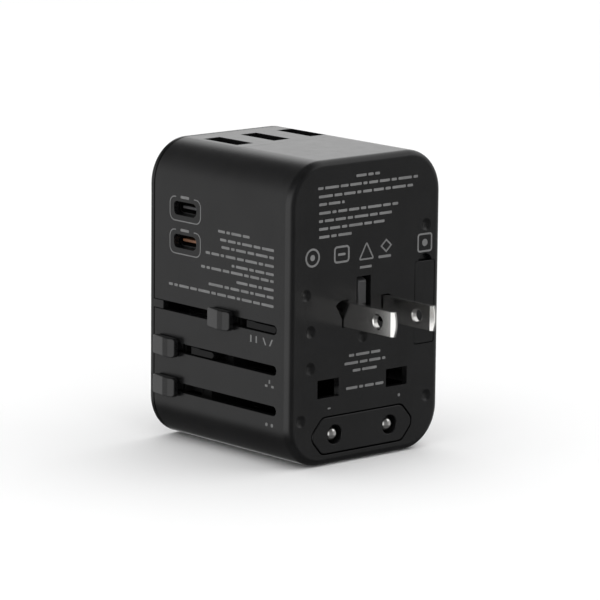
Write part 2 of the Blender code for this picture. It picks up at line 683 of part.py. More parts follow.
def make_eu_set():
    y = knob_y("eu")
    front, back = EU_CARRIER_Y
    carrier = box("eu_carrier", (-12.6, front, 3.2), (11.2, back, 11.7), "grey_plastic")
    ear = box("eu_ear", (ARM_X[0] + 0.2, front, 8.0), (-12.0, back, 15.3))
    join(carrier, ear, *arm_boxes("eu", y, back - 1))
    block = slab("eu_block", "Y", hexagon(), FACE_Y, FACE_Y + BLOCK_L, "black_plastic")
    edge = block.modifiers.new("edge", "BEVEL")
    edge.limit_method = "ANGLE"
    edge.angle_limit = math.radians(40)
    edge.width = 0.3 * MM
    edge.segments = 2
    pins = []
    for label, side in (("left", -1), ("right", 1)):
        centre = PIN_X + side * EU_HALF_SPACING
        middle = FACE_Y + BLOCK_L / 2
        cut(block, cylinder(f"eu_hole_{label}", "Y", (centre, middle, EU_Z), EU_HOLE_R, BLOCK_L + 2))
        seat_place = (centre, (front + back) / 2, EU_Z)
        cut(carrier, cylinder(f"eu_seat_{label}", "Y", seat_place, EU_ROOT_R + GAP, back - front + 2))
        pins.append(eu_pin(f"eu_pin_{label}", centre, front, back))
    carried = [carrier, make_knob("eu", y), make_knob_spring("eu", y), *pins]
    hang_on("eu_slide", (-HALF_W, y, SLOT_Z["eu"]), *carried)
    hang_on("eu_block_slide", (PIN_X, FACE_Y, EU_Z), block)


def eu_pin(name, centre, front, back):
    """A round pin with a domed tip, and a thinner root in the carrier."""
    tip = -EU_TIP_Y
    steps = 6
    angles = [math.pi / 2 * k / steps for k in range(steps + 1)]
    dome = [(EU_PIN_R * math.sin(angle), tip - EU_PIN_R * (1 - math.cos(angle))) for angle in angles]
    shoulder = -(front - GAP)
    end = -back - 0.5
    profile = dome + [(EU_PIN_R, shoulder), (EU_ROOT_R, shoulder), (EU_ROOT_R, end), (0, end)]
    return turned(name, "Y", (centre, 0, EU_Z), profile, "nickel")


# ---------------------------------------------------------------- universal socket
def make_socket_block():
    """The block behind the socket face, with a pocket for each contact and a way for an earth pin."""
    start, end = SOCKET_BLOCK_Y
    block = box("socket_block", (-15.8, start, 19.5), (15.8, end, 31.5), "grey_plastic")
    neck = box("block_neck", (-5, start, 31), (5, end, 53))
    head = box("block_head", (-11, start, 52.2), (11, end, 57.8))
    pillars = [cylinder(f"board_pillar_{i}", "Z", (x, BOARD_SCREWS_Y, 57.95), 2.2, 1.5, sides=16)
               for i, x in enumerate(BOARD_SCREWS_X)]
    join(block, neck, head, *pillars)
    near, far = POCKET_X
    pockets = [box("live_pocket", (-far, 7.0, 20.8), (-near, end + 1, 29.2)),
               box("neutral_pocket", (near, 7.0, 20.8), (far, end + 1, 29.2)),
               box("earth_way", (-2.6, start - 1, 42.6), (2.6, end + 1, 51.8))]
    for side in (-1, 1):
        x, z = side * COVER_SCREW_X, COVER_SCREW_Z
        pockets.append(cylinder(f"ear_hole_{side}", "Y", (x, 13.5, z), 1.2, 20, sides=12))
        pockets.append(cylinder(f"ear_recess_{side}", "Y", (x, 11.5, z), 2.2, 16, sides=16))
    for i, x in enumerate(BOARD_SCREWS_X):
        pockets.append(cylinder(f"board_hole_{i}", "Z", (x, BOARD_SCREWS_Y, 56.5), 1.1, 6, sides=12))
    cut(block, *pockets)


def make_contacts():
    """A folded brass channel in each pocket: a back, two leaves for pins and one for blades."""
    bottom, top = SOCKET_Z - 2.8, SOCKET_Z + 2.8
    back, front = 7.3, 20.5
    near, far = CONTACT_X
    for label, side in (("live", -1), ("neutral", 1)):
        low, high = sorted((side * near, side * far))
        contact = box(f"socket_contact_{label}", (low, back, bottom), (high, back + LEAF_T, top), "brass")
        low, high = sorted((side * 8.4, side * far))
        upper = box(f"{label}_upper_leaf", (low, back, top - LEAF_T), (high, front, top))
        lower = box(f"{label}_lower_leaf", (low, back, bottom), (high, front, bottom + LEAF_T))
        low, high = sorted((side * near, side * (near + LEAF_T)))
        blade_leaf = box(f"{label}_blade_leaf", (low, back, bottom), (high, front, top))
        join(contact, upper, lower, blade_leaf)
        low, high = sorted((side * 16.2, side * (16.2 + LEAF_T)))
        box(f"bus_bar_{label}", (low, -22, 16.4), (high, 20, 19.6), "coated_brass")


def make_shutter():
    """The child-safety shutter behind the socket face, and the spring that lifts it."""
    shutter = box("socket_shutter", (-15.9, 22.3, 20.9), (15.9, 23.5, 29.1), "white_plastic")
    join(shutter, box("shutter_foot", (-2.5, 22.3, 14.0), (2.5, 23.5, 21.5)))
    hang_on("shutter_slide", (0, 22.9, 20.9), shutter)
    per_turn, radius = 10, 1.2
    low, high = SPRING_Z
    points = []
    for k in range(SPRING_TURNS * per_turn + 1):
        angle = 2 * math.pi * k / per_turn
        rise = low + (high - low) * k / (SPRING_TURNS * per_turn)
        points.append((radius * math.cos(angle), 22.7 + radius * math.sin(angle), rise))
    wire("shutter_spring", points, 0.2, "steel")


def wire(name, points, radius, finish):
    curve = bpy.data.curves.new(name, "CURVE")
    curve.dimensions = "3D"
    curve.bevel_depth = radius * MM
    curve.bevel_resolution = 2
    curve.use_fill_caps = True
    spline = curve.splines.new("POLY")
    spline.points.add(len(points) - 1)
    for point, place in zip(spline.points, points):
        point.co = (*(value * MM for value in place), 1)
    item = bpy.data.objects.new(name, curve)
    PARTS.objects.link(item)
    curve.materials.append(make_material(name, finish))


# ---------------------------------------------------------------- charger
def make_boards():
    box("charger_board", (-13.4, -23.4, BOARD_Z[0]), (21.5, 23.6, BOARD_Z[1]), "circuit_board")
    board = bpy.data.objects["charger_board"]
    for i, x in enumerate(BOARD_SCREWS_X):
        cut(board, cylinder(f"board_screw_way_{i}", "Z", (x, BOARD_SCREWS_Y, BOARD_Z[0]), 1.2, 4, sides=12))
    box("usb_c_board", (-15.6, 3.0, 46.0), (-14.4, 23.0, 63.0), "circuit_board")


def make_usb_a_ports():
    """Upright receptacles: a steel shell open at the top, and the tongue inside it."""
    floor = BOARD_Z[1] + GAP
    top = 72.3
    y = USB_A_Y
    for number, x in enumerate(USB_A_X, start=1):
        shell_low = (x - 2.85, y - 6.55, floor)
        shell = box(f"usb_a_shell_{number}", shell_low, (x + 2.85, y + 6.55, top), "steel")
        space_low = (x - 2.35, y - 6.1, floor + 0.6)
        cut(shell, box(f"usb_a_space_{number}", space_low, (x + 2.35, y + 6.1, top + 1)))
        tongue_low = (x - 1.95, y - 5.55, floor + 0.9)
        box(f"usb_a_tongue_{number}", tongue_low, (x - 0.15, y + 5.55, top - 1.2), "white_plastic")


def make_usb_c_ports():
    """Receptacles that lie behind the slider side: a rounded shell and a thin tongue."""
    for name, z in USB_C_Z.items():
        outline = rounded(rectangle(8.94, 3.26, (USB_C_Y, z)), 1.5, 5)
        shell = slab(f"usb_c_shell_{name}", "X", outline, -22.5, -16.0, "steel")
        inside = rounded(rectangle(8.34, 2.56, (USB_C_Y, z)), 1.2, 5)
        cut(shell, slab(f"usb_c_space_{name}", "X", inside, -23.5, -16.3))
        finish = "orange_plastic" if name == "lower" else "grey_plastic"
        tongue_low = (-22.4, USB_C_Y - 3.35, z - 0.35)
        box(f"usb_c_tongue_{name}", tongue_low, (-16.6, USB_C_Y + 3.35, z + 0.35), finish)


def make_power_parts():
    floor = BOARD_Z[1] + GAP
    core = box("transformer", (-9, -21, floor), (5, -4, PART_TOP_Z), "ferrite")
    edge = core.modifiers.new("edge", "BEVEL")
    edge.width = 1.0 * MM
    edge.segments = 2
    for number, y in enumerate((-16.5, -6.5), start=1):
        can = [(0, PART_TOP_Z), (3.4, PART_TOP_Z), (4, PART_TOP_Z - 0.5), (4, 62.0), (3.7, 61.6),
               (4, 61.2), (4, floor), (0, floor)]
        turned(f"capacitor_{number}", "Z", (13, y, 0), can, "black_plastic", 20)
    pipe = [(0, -21.0), (1.5, -21.0), (1.5, -BACK_Y + 0.1), (1.4, -BACK_Y), (0, -BACK_Y)]
    turned("power_light", "Y", (LIGHT_X, 0, LIGHT_Z), pipe, "light_pipe", 16)


def make_screws():
    """Two screws hold the socket block to the cover, and two hold the board to the block."""
    for number, side in enumerate((-1, 1), start=1):
        shank = [(0, -18.2), (1.5, -18.2), (1.9, -18.6), (1.9, -19.2), (0.9, -19.2), (0.9, -23.6),
                 (0, -24.1)]
        place = (side * COVER_SCREW_X, 0, COVER_SCREW_Z)
        turned(f"cover_screw_{number}", "Y", place, shank, "steel", 16)
    for number, x in enumerate(BOARD_SCREWS_X, start=1):
        shank = [(0, 61.6), (1.1, 61.6), (1.5, 61.2), (1.5, 60.5), (0.8, 60.5), (0.8, 54.6), (0, 54.1)]
        turned(f"board_screw_{number}", "Z", (x, BOARD_SCREWS_Y, 0), shank, "steel", 16)


clear_scene()
PARTS = make_collection("universal_travel_adapter")
CUTTERS = make_collection("cutters")
make_housing()
make_socket_cover()
make_usb_a_panel()
make_spare_fuse()
make_main_fuse()
make_us_set()
make_uk_set()
make_eu_set()
make_socket_block()
make_contacts()
make_shutter()
make_boards()
make_usb_a_ports()
make_usb_c_ports()
make_power_parts()
make_screws()
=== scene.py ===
"""Looks of the universal travel adapter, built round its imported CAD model.

Every visible piece is made here with fine gaps, rounded edges and procedural materials, and rides
on its CAD body. Shapes are given in millimetres in the model's own frame: +Z is up, the plug face
looks along -Y, the socket face along +Y and the sliders are on the -X side.
"""
import json
import math

import bmesh
import bpy
from mathutils import Matrix, Quaternion, Vector


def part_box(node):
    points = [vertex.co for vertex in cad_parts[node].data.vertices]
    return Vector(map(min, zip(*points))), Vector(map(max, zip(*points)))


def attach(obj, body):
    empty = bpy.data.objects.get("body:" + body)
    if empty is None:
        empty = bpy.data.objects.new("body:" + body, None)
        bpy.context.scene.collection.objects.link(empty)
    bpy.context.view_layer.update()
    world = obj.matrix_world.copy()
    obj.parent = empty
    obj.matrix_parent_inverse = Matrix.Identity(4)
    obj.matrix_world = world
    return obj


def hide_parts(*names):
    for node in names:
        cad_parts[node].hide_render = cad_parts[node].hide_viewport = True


MM = 0.001

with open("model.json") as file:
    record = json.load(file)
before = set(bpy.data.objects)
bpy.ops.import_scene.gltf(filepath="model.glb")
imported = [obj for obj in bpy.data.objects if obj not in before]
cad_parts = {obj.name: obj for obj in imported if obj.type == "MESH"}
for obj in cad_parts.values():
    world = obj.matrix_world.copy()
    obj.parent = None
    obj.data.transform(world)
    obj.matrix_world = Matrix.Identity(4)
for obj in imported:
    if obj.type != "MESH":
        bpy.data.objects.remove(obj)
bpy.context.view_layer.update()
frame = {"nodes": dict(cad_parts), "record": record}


def cad(node):
    """The lowest and highest corners of a CAD node, in millimetres."""
    low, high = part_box(node)
    return low / MM, high / MM


# ---------------------------------------------------------------- sizes, from the CAD model
HOUSING_LOW, HOUSING_HIGH = cad("main_housing")
SIDE_X = HOUSING_LOW.x
RIGHT_X = HOUSING_HIGH.x
FACE_Y = HOUSING_LOW.y
BACK_Y = cad("socket_cover")[1].y
TOP_Z = HOUSING_HIGH.z
SEAM_Y = HOUSING_HIGH.y + 0.15
CORNER_R = 10.7
FACE_EDGE_R = 1.95
WALL = 1.8
FINE_GAP = 0.07
SEAM_GAP = 0.2
LIP_INSET = -0.8
LIP_REACH = 0.35

SLOT_HALF = 1.15
SLOT_END = -21.6
SLOT_Z = {name: sum(end.z for end in cad(f"{name}_knob")) / 2 for name in ("us", "uk", "eu")}
# A knob's cap hangs this far off the wall, which is a little more than a press moves it.
KNOB_BASE = 0.53

BLADE_PIVOT_Z = 35.7
BLADE_Z = (33.55, 39.85)
BLADE_ROOT_Y = -23.7
BLADE_HALF_T = 0.75
SHANK_R = 2.0
COLLAR_R = 2.8

PANEL_HALF_W = 15.6
PANEL_FRONT_Y = 2.75
USB_A_OPENING = (5.1, 12.7)
USB_A_X = [sum(end.x for end in cad(f"usb_a_shell_{number}")) / 2 for number in (1, 2, 3)]
USB_A_Y = sum(end.y for end in cad("usb_a_shell_1")) / 2
USB_C_Y = sum(end.y for end in cad("usb_c_shell_upper")) / 2
USB_C_Z = {name: sum(end.z for end in cad(f"usb_c_shell_{name}")) / 2 for name in ("upper", "lower")}

BLOCK_LOW, BLOCK_HIGH = cad("eu_block")
PIN_X = (BLOCK_LOW.x + BLOCK_HIGH.x) / 2
EU_Z = (BLOCK_LOW.z + BLOCK_HIGH.z) / 2
SOCKET_Z = 25.0
SOCKET_EARTH = (5.0, 8.8)
SOCKET_EARTH_CENTRE = (0, 47.2)
DRAWER_CENTRE = (14.0, 40.0)
FUSE_WAY_R = 2.95
LIGHT_CENTRE = (-14, 40)
FUSE_WELL = ((15.4, FACE_Y + 1.2, 25.4), (23.6, -17.3, 47.9))
FUSE_POCKET = ((16.6, FACE_Y + 1, 26.55), (22.1, -18.5, 46.75))
DIMPLES = ((-19.2, 42.5), (-17.7, 33.5), (-17.7, 24.5), (-0.9, 30.5),
           (-20.6, 12.0), (20.3, 13.1), (19.5, 55.8))
DIMPLE_R = 1.5
DIMPLE_DEPTH = 0.55
NOTCH_R = 2.25
PRINT = 0.02


# ---------------------------------------------------------------- outlines
def rectangle(width, height, centre=(0, 0)):
    u, v = centre
    return [(u - width / 2, v - height / 2), (u + width / 2, v - height / 2),
            (u + width / 2, v + height / 2), (u - width / 2, v + height / 2)]


def circle(radius, centre=(0, 0), steps=32):
    turn = 2 * math.pi / steps
    return [(centre[0] + radius * math.cos(turn * k), centre[1] + radius * math.sin(turn * k))
            for k in range(steps)]


def rounded(corners, radius, steps=6):
    """Round every corner of a convex outline with an arc."""
    points = []
    for i, corner in enumerate(corners):
        here = Vector(corner)
        before = (Vector(corners[i - 1]) - here).normalized()
        after = (Vector(corners[(i + 1) % len(corners)]) - here).normalized()
        half = before.angle(after) / 2
        reach = radius / math.tan(half)
        centre = here + (before + after).normalized() * radius / math.sin(half)
        start = here + before * reach - centre
        turn = start.angle_signed(here + after * reach - centre)
        for k in range(steps + 1):
            spoke = start.copy()
            spoke.rotate(Matrix.Rotation(-turn * k / steps, 2))
            points.append(tuple(centre + spoke))
    return points


def rounded_box(width, height, radius, centre=(0, 0), steps=6):
    return rounded(rectangle(width, height, centre), radius, steps)


def grown(outline, amount):
    """The outline moved outwards by amount, with mitred corners."""
    area = sum(a[0] * b[1] - b[0] * a[1] for a, b in zip(outline, outline[1:] + outline[:1]))
    side = 1 if area > 0 else -1
    moved = []
    for i, point in enumerate(outline):
        here = Vector(point)
        first = (here - Vector(outline[i - 1])).normalized()
        second = (Vector(outline[(i + 1) % len(outline)]) - here).normalized()
        normal = Vector((first.y + second.y, -first.x - second.x)).normalized() * side
        lean = normal.dot(Vector((first.y, -first.x)) * side)
        moved.append(tuple(here + normal * amount / max(lean, 0.4)))
    return moved


def body_outline(steps=16):
    """The body's section across Y."""
    return rounded_box(RIGHT_X - SIDE_X, TOP_Z, CORNER_R, (0, TOP_Z / 2), steps)


def hexagon():
    """The EU block's flattened hexagon, as wide and tall as its CAD node."""
    wide, tall = (BLOCK_HIGH.x - BLOCK_LOW.x) / 2 + 0.35, (BLOCK_HIGH.z - BLOCK_LOW.z) / 2
    flat = 12.9
    corners = [(-wide, 0), (-flat, -tall), (flat, -tall), (wide, 0), (flat, tall), (-flat, tall)]
    return rounded([(PIN_X + u, EU_Z + v) for u, v in corners], 2.2, 6)


def slot_outline(z, half, start, end):
    """A slot from end, where it is round, to start, where it is open."""
    points = [(start, z - half), (start, z + half)]
    for k in range(13):
        angle = math.pi * k / 12
        points.append((end + half - half * math.sin(angle), z + half * math.cos(angle)))
    return points


# ---------------------------------------------------------------- solids
def place(axis, u, v, along):
    spots = {"X": (along, u, v), "Y": (u, along, v), "Z": (u, v, along)}
    return Vector(spots[axis]) * MM


def add_stack(shape, axis, outline, stations):
    """Stretch an outline along an axis: at each (place, growth) it is grown by that much."""
    rings = []
    for along, growth in stations:
        points = grown(outline, growth) if growth else outline
        rings.append([shape.verts.new(place(axis, u, v, along)) for u, v in points])
    faces = []
    count = len(outline)
    for ring, above in zip(rings, rings[1:]):
        for i in range(count):
            j = (i + 1) % count
            faces.append(shape.faces.new((ring[i], ring[j], above[j], above[i])))
    faces.append(shape.faces.new(rings[0]))
    faces.append(shape.faces.new(rings[-1]))
    bmesh.ops.recalc_face_normals(shape, faces=faces)
    return faces


def add_ring(shape, axis, outer, inner, start, end):
    """A flat frame between two outlines with the same number of points."""
    loops = []
    for outline, along in ((outer, start), (outer, end), (inner, end), (inner, start)):
        loops.append([shape.verts.new(place(axis, u, v, along)) for u, v in outline])
    faces = []
    for first, second in zip(loops, loops[1:] + loops[:1]):
        for i in range(len(outer)):
            j = (i + 1) % len(outer)
            faces.append(shape.faces.new((first[i], first[j], second[j], second[i])))
    bmesh.ops.recalc_face_normals(shape, faces=faces)


def make_object(name, shape):
    mesh = bpy.data.meshes.new(name)
    shape.to_mesh(mesh)
    shape.free()
    item = bpy.data.objects.new(name, mesh)
    bpy.context.scene.collection.objects.link(item)
    return item


def stack(name, axis, outline, stations):
    shape = bmesh.new()
    add_stack(shape, axis, outline, stations)
    return make_object(name, shape)


def block(name, low, high, edge=0.0, axis="Z"):
    """A box between two corners, with its edges across the axis rounded."""
    i, j, k = {"X": (1, 2, 0), "Y": (0, 2, 1), "Z": (0, 1, 2)}[axis]
    middle = ((low[i] + high[i]) / 2, (low[j] + high[j]) / 2)
    sides = (high[i] - low[i], high[j] - low[j])
    if not edge:
        return stack(name, axis, rectangle(*sides, middle), [(low[k], 0), (high[k], 0)])
    stations = round_end(low[k], 1, edge) + round_end(high[k], -1, edge)[::-1]
    return stack(name, axis, rounded_box(*sides, edge * 1.5, middle, 4), stations)


def round_end(along, into, radius, steps=4):
    """Stations of a rounded edge at a solid's end, from the end inwards."""
    turns = [math.radians(90) * k / steps for k in range(steps + 1)]
    return [(along + into * radius * (1 - math.cos(t)), -radius * (1 - math.sin(t))) for t in turns]


def mouth(face, into, radius, depth, steps=4):
    """Stations of a cutter that leaves a rounded rim where it enters a face."""
    turns = [math.radians(90) * k / steps for k in range(steps + 1)]
    rim = [(face + into * radius * (1 - math.cos(t)), radius * (1 - math.sin(t))) for t in turns]
    return [(face - into, radius)] + rim + [(face + into * depth, 0)]


def bowl_stations(face, radius, depth, steps=7):
    """Stations of a cutter that leaves a shallow round bowl in a face that looks along -Y."""
    sphere = (radius ** 2 + depth ** 2) / (2 * depth)
    rim = math.asin(radius / sphere)
    stations = [(face - 1, 0.12), (face, 0.12), (face + 0.03, 0)]
    for k in range(1, steps + 1):
        turn = rim * (1 - k / (steps + 0.3))
        deep = sphere * (math.cos(turn) - math.cos(rim))
        stations.append((face + deep, sphere * math.sin(turn) - radius))
    return stations


def evaluated(item):
    """Replace an object's mesh with what its modifiers make of it."""
    bpy.context.view_layer.update()
    graph = bpy.context.evaluated_depsgraph_get()
    mesh = bpy.data.meshes.new_from_object(item.evaluated_get(graph))
    item.modifiers.clear()
    item.data = mesh


def boolean(target, operation, tools):
    for tool in tools:
        step = target.modifiers.new(tool.name, "BOOLEAN")
        step.operation = operation
        step.solver = "EXACT"
        step.object = tool
        evaluated(target)
        bpy.data.objects.remove(tool)
    return target


def cut(target, *tools):
    return boolean(target, "DIFFERENCE", tools)


def join(target, *tools):
    return boolean(target, "UNION", tools)


def dress(item, body, material, *nodes, slot=None, sharp=40):
    """Shade a piece, give it its material, and let it ride on its body in place of its nodes."""
    item.data.materials.clear()
    item.data.materials.append(material)
    for face in item.data.polygons:
        face.material_index = 0
    item.data.shade_smooth()
    item.data.set_sharp_from_angle(angle=math.radians(sharp))
    even = item.modifiers.new("even_shading", "WEIGHTED_NORMAL")
    even.keep_sharp = True
    even.weight = 80
    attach(item, body)
    if nodes:
        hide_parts(*nodes)
    return item


# ---------------------------------------------------------------- materials
class Graph:
    """A small helper that adds nodes to a material and links them."""

    def __init__(self, tree):
        self.tree = tree

    def add(self, kind, links=None, **values):
        node = self.tree.nodes.new(kind)
        for key, value in values.items():
            setattr(node, key, value)
        for socket, source in (links or {}).items():
            if hasattr(source, "is_output"):
                self.tree.links.new(source, node.inputs[socket])
            else:
                node.inputs[socket].default_value = source
        return node

    def noise(self, vector, size_mm, detail=3.0, roughness=0.55):
        """Cloudy noise whose features are about size_mm wide."""
        links = {"Vector": vector, "Scale": 1 / (size_mm * MM), "Detail": detail, "Roughness": roughness}
        return self.add("ShaderNodeTexNoise", links).outputs["Fac"]

    def spread(self, value, low, high, start=0.3, end=0.7):
        """Map a value between start and end to low and high."""
        links = {"Value": value, "From Min": start, "From Max": end, "To Min": low, "To Max": high}
        return self.add("ShaderNodeMapRange", links, interpolation_type="SMOOTHSTEP").outputs["Result"]

    def math(self, operation, first, second=0.0):
        return self.add("ShaderNodeMath", {0: first, 1: second}, operation=operation).outputs[0]

    def blend(self, factor, first, second):
        node = self.add("ShaderNodeMix", data_type="RGBA")
        for socket, source in ((0, factor), (6, first), (7, second)):
            if hasattr(source, "is_output"):
                self.tree.links.new(source, node.inputs[socket])
            elif socket:
                node.inputs[socket].default_value = (*source, 1.0)
            else:
                node.inputs[socket].default_value = source
        return node.outputs[2]


def new_material(name):
    item = bpy.data.materials.new(name)
    item.use_nodes = True
    graph = Graph(item.node_tree)
    shader = item.node_tree.nodes["Principled BSDF"]
    position = graph.add("ShaderNodeTexCoord").outputs["Object"]
    return item, graph, shader, position


def stretched(graph, position, scale):
    return graph.add("ShaderNodeMapping", {"Vector": position, "Scale": scale}).outputs["Vector"]


def edge_mask(graph):
    """1 where the surface turns round an edge, 0 on the faces that look along an axis."""
    normal = graph.add("ShaderNodeNewGeometry").outputs["True Normal"]
    parts = graph.add("ShaderNodeSeparateXYZ", {0: normal}).outputs
    sizes = [graph.math("ABSOLUTE", part) for part in parts]
    largest = graph.math("MAXIMUM", graph.math("MAXIMUM", sizes[0], sizes[1]), sizes[2])
    return graph.spread(largest, 1.0, 0.0, 0.72, 0.97)


def plastic(name, colour, roughness, grain_mm=0.22, bump=0.12, wear=0.5, ior=1.5):
    """Moulded plastic: spark-textured grain, faint handling marks, and polish along its edges."""
    item, graph, shader, position = new_material(name)
    grain = graph.noise(position, grain_mm, 2.0, 0.6)
    cloud = graph.noise(position, 9.0, 4.0)
    smear = graph.noise(stretched(graph, position, (1.0, 1.0, 0.3)), 3.0, 5.0, 0.65)
    rubbed = graph.math("MULTIPLY", edge_mask(graph), graph.spread(smear, 0.0, wear, 0.35, 0.75))
    darker = tuple(value * 0.8 for value in colour)
    lighter = tuple(value * 1.25 for value in colour)
    worn = tuple(min(1.0, value * 1.8 + 0.004) for value in colour)
    tone = graph.blend(graph.spread(cloud, 0.0, 1.0), darker, lighter)
    speckled = graph.blend(graph.spread(grain, 0.0, 0.35, 0.45, 0.75), tone, worn)
    graph.tree.links.new(graph.blend(rubbed, speckled, worn), shader.inputs["Base Color"])
    handled = graph.spread(smear, roughness - 0.01, roughness + 0.015)
    polished = graph.math("SUBTRACT", handled, graph.math("MULTIPLY", rubbed, 0.03))
    graph.tree.links.new(polished, shader.inputs["Roughness"])
    relief = graph.add("ShaderNodeBump", {"Height": grain, "Strength": bump, "Distance": 0.02 * MM})
    graph.tree.links.new(relief.outputs["Normal"], shader.inputs["Normal"])
    shader.inputs["IOR"].default_value = ior
    return item


def metal(name, colour, roughness, grain=(1.0, 0.05, 1.0), bump=0.05, uneven=0.05):
    """Plated or drawn metal: fine lines along one direction, with small smudges."""
    item, graph, shader, position = new_material(name)
    lines = graph.noise(stretched(graph, position, grain), 0.08, 2.0)
    smudge = graph.noise(position, 2.5, 4.0)
    dull = tuple(value * (1 - 3 * uneven) for value in colour)
    tone = graph.blend(graph.spread(smudge, 0.0, 1.0), dull, colour)
    graph.tree.links.new(tone, shader.inputs["Base Color"])
    drawn = graph.spread(lines, roughness, roughness + uneven)
    mixed = graph.math("ADD", graph.spread(smudge, 0.0, uneven), drawn)
    graph.tree.links.new(mixed, shader.inputs["Roughness"])
    relief = graph.add("ShaderNodeBump", {"Height": lines, "Strength": bump, "Distance": 0.005 * MM})
    graph.tree.links.new(relief.outputs["Normal"], shader.inputs["Normal"])
    shader.inputs["Metallic"].default_value = 1.0
    return item


def ink(name, colour):
    """Pad-printed ink, with thin places where the plastic's grain shows through."""
    item, graph, shader, position = new_material(name)
    worn = graph.spread(graph.noise(position, 0.18, 3.0), 0.35, 0.0, 0.3, 0.5)
    cloud = graph.spread(graph.noise(position, 4.0, 2.0), 0.0, 0.25)
    thin = tuple(value * 0.35 for value in colour)
    tone = graph.blend(graph.math("ADD", worn, cloud), colour, thin)
    graph.tree.links.new(tone, shader.inputs["Base Color"])
    graph.tree.links.new(graph.spread(worn, 0.5, 0.65, 0.0, 0.35), shader.inputs["Roughness"])
    return item


def circuit_board(name):
    """Green solder mask with faint copper runs under it."""
    item, graph, shader, position = new_material(name)
    weave_links = {"Vector": position, "Scale": 160.0, "Mortar Size": 0.03}
    weave = graph.add("ShaderNodeTexBrick", weave_links)
    weave.inputs["Color1"].default_value = (0.012, 0.09, 0.035, 1)
    weave.inputs["Color2"].default_value = (0.01, 0.07, 0.03, 1)
    weave.inputs["Mortar"].default_value = (0.03, 0.17, 0.07, 1)
    graph.tree.links.new(weave.outputs["Color"], shader.inputs["Base Color"])
    cloud = graph.noise(position, 1.2, 3.0)
    graph.tree.links.new(graph.spread(cloud, 0.25, 0.4), shader.inputs["Roughness"])
    bump_links = {"Height": weave.outputs["Fac"], "Strength": 0.2, "Distance": 0.02 * MM}
    relief = graph.add("ShaderNodeBump", bump_links)
    graph.tree.links.new(relief.outputs["Normal"], shader.inputs["Normal"])
    return item


BLACK = (0.0045, 0.0045, 0.0047)
# Plastics: colour, roughness, grain size in mm, bump, wear.
# Metals: colour, roughness, grain along each axis, bump, unevenness.
MATERIALS = {
    "black": plastic("black_moulded_plastic", BLACK, 0.24, wear=0.3),
    "knob": plastic("knob_plastic", (0.0055, 0.0055, 0.0058), 0.13, 0.2, 0.05),
    # Painted shade: the slot strips take a darker, less reflective copy of the black plastic, standing in
    # for the shade inside the slots.
    "strip": plastic("slot_strip_painted_shade_plastic", (0.003, 0.003, 0.0032), 0.2, 0.2, 0.04, ior=1.29),
    "earth": plastic("earth_pin_plastic", (0.035, 0.035, 0.036), 0.3, 0.2, 0.06),
    # Painted shade: the grey inner plastic is drawn near black, standing in for the shade seen through
    # the holes, slots and port mouths.
    "grey": plastic("inner_plastic_painted_shade", (0.003, 0.003, 0.003), 0.6),
    "tongue": plastic("grey_tongue_plastic", (0.06, 0.06, 0.062), 0.4, 0.15),
    "white": plastic("white_shutter_plastic", (0.6, 0.59, 0.56), 0.4, 0.2, 0.08),
    "orange": plastic("orange_tongue_plastic", (0.22, 0.1, 0.05), 0.4, 0.15),
    "nickel": metal("nickel_plate", (0.92, 0.91, 0.89), 0.05, uneven=0.02),
    "blade": metal("blade_nickel", (0.88, 0.87, 0.85), 0.22, (1.0, 0.04, 1.0), 0.01, 0.012),
    # Painted shade: the brass bus bars behind the pin holes are drawn near black, standing in for the
    # shade inside the holes.
    "coated": plastic("bus_bar_painted_shade", (0.004, 0.004, 0.004), 0.5),
    "brass": metal("contact_brass_strip", (0.72, 0.5, 0.2), 0.22),
    "gold": metal("gold_contact", (0.8, 0.55, 0.2), 0.2),
    "steel": metal("drawn_steel", (0.2, 0.2, 0.2), 0.35, (1.0, 1.0, 0.05)),
    "shell": metal("dark_port_shell", (0.1, 0.1, 0.1), 0.4, (1.0, 1.0, 0.05)),
    "board": circuit_board("solder_mask"),
    "ferrite": plastic("ferrite_core", (0.03, 0.03, 0.033), 0.6, 0.4, 0.3),
    "ceramic": plastic("fuse_ceramic_tube", (0.7, 0.69, 0.64), 0.3, 0.3, 0.05),
    "light": plastic("light_pipe_plastic", (0.55, 0.66, 0.72), 0.15, 0.3, 0.04),
    "ink": ink("grey_ink", (0.18, 0.18, 0.18)),
}
SLOT_MATERIAL = {
    "black_plastic": "black", "knob_plastic": "knob", "grey_plastic": "grey", "white_plastic": "white",
    "orange_plastic": "orange", "nickel": "nickel", "contact_brass": "brass", "steel": "steel",
    # coated_brass bus bars take the near-black painted-shade material, not a brass finish.
    "coated_brass": "coated", "circuit_board": "board", "ferrite": "ferrite",
    "fuse_ceramic": "ceramic", "light_pipe": "light",
}


def dress_cad_nodes():
    """Give every CAD node the material of its slot. Most of them are inner pieces."""
    slots = {part["node"]: part["material_slot"] for part in frame["record"]["subparts"]}
    for name, item in frame["nodes"].items():
        item.data.materials.clear()
        item.data.materials.append(MATERIALS[SLOT_MATERIAL[slots[name]]])


# ---------------------------------------------------------------- housing
UK_HOLE_PLAY = 0.6
FAN_HALF_W = 1.03
FAN_UP = 4.35
FAN_DOWN = 2.3
BLADE_SWING = math.radians(30)


def fan_outlines(side):
    """The relief at a blade's root: a wedge above and below its pivot, and the blade's own slot."""
    low, high = cad(f"us_blade_{'left' if side < 0 else 'right'}")
    pivot = Vector(((low.x + high.x) / 2, BLADE_PIVOT_Z))
    half, up, down = FAN_HALF_W, FAN_UP, FAN_DOWN
    outlines = []
    for height, outward in ((up, side), (-down, -side)):
        turn = BLADE_SWING * (-outward if height > 0 else outward)
        points = [Vector((-outward * half, 0)), Vector((-outward * half, height))]
        for k in range(9):
            corner = Vector((outward * half, height))
            corner.rotate(Matrix.Rotation(turn * k / 8, 2))
            points.append(corner)
        foot = Vector((outward * half, 0))
        foot.rotate(Matrix.Rotation(turn, 2))
        points.append(foot)
        outlines.append([tuple(pivot + point) for point in points])
    outlines.append(rectangle(2 * half, up + down, (pivot.x, pivot.y + (up - down) / 2)))
    return outlines


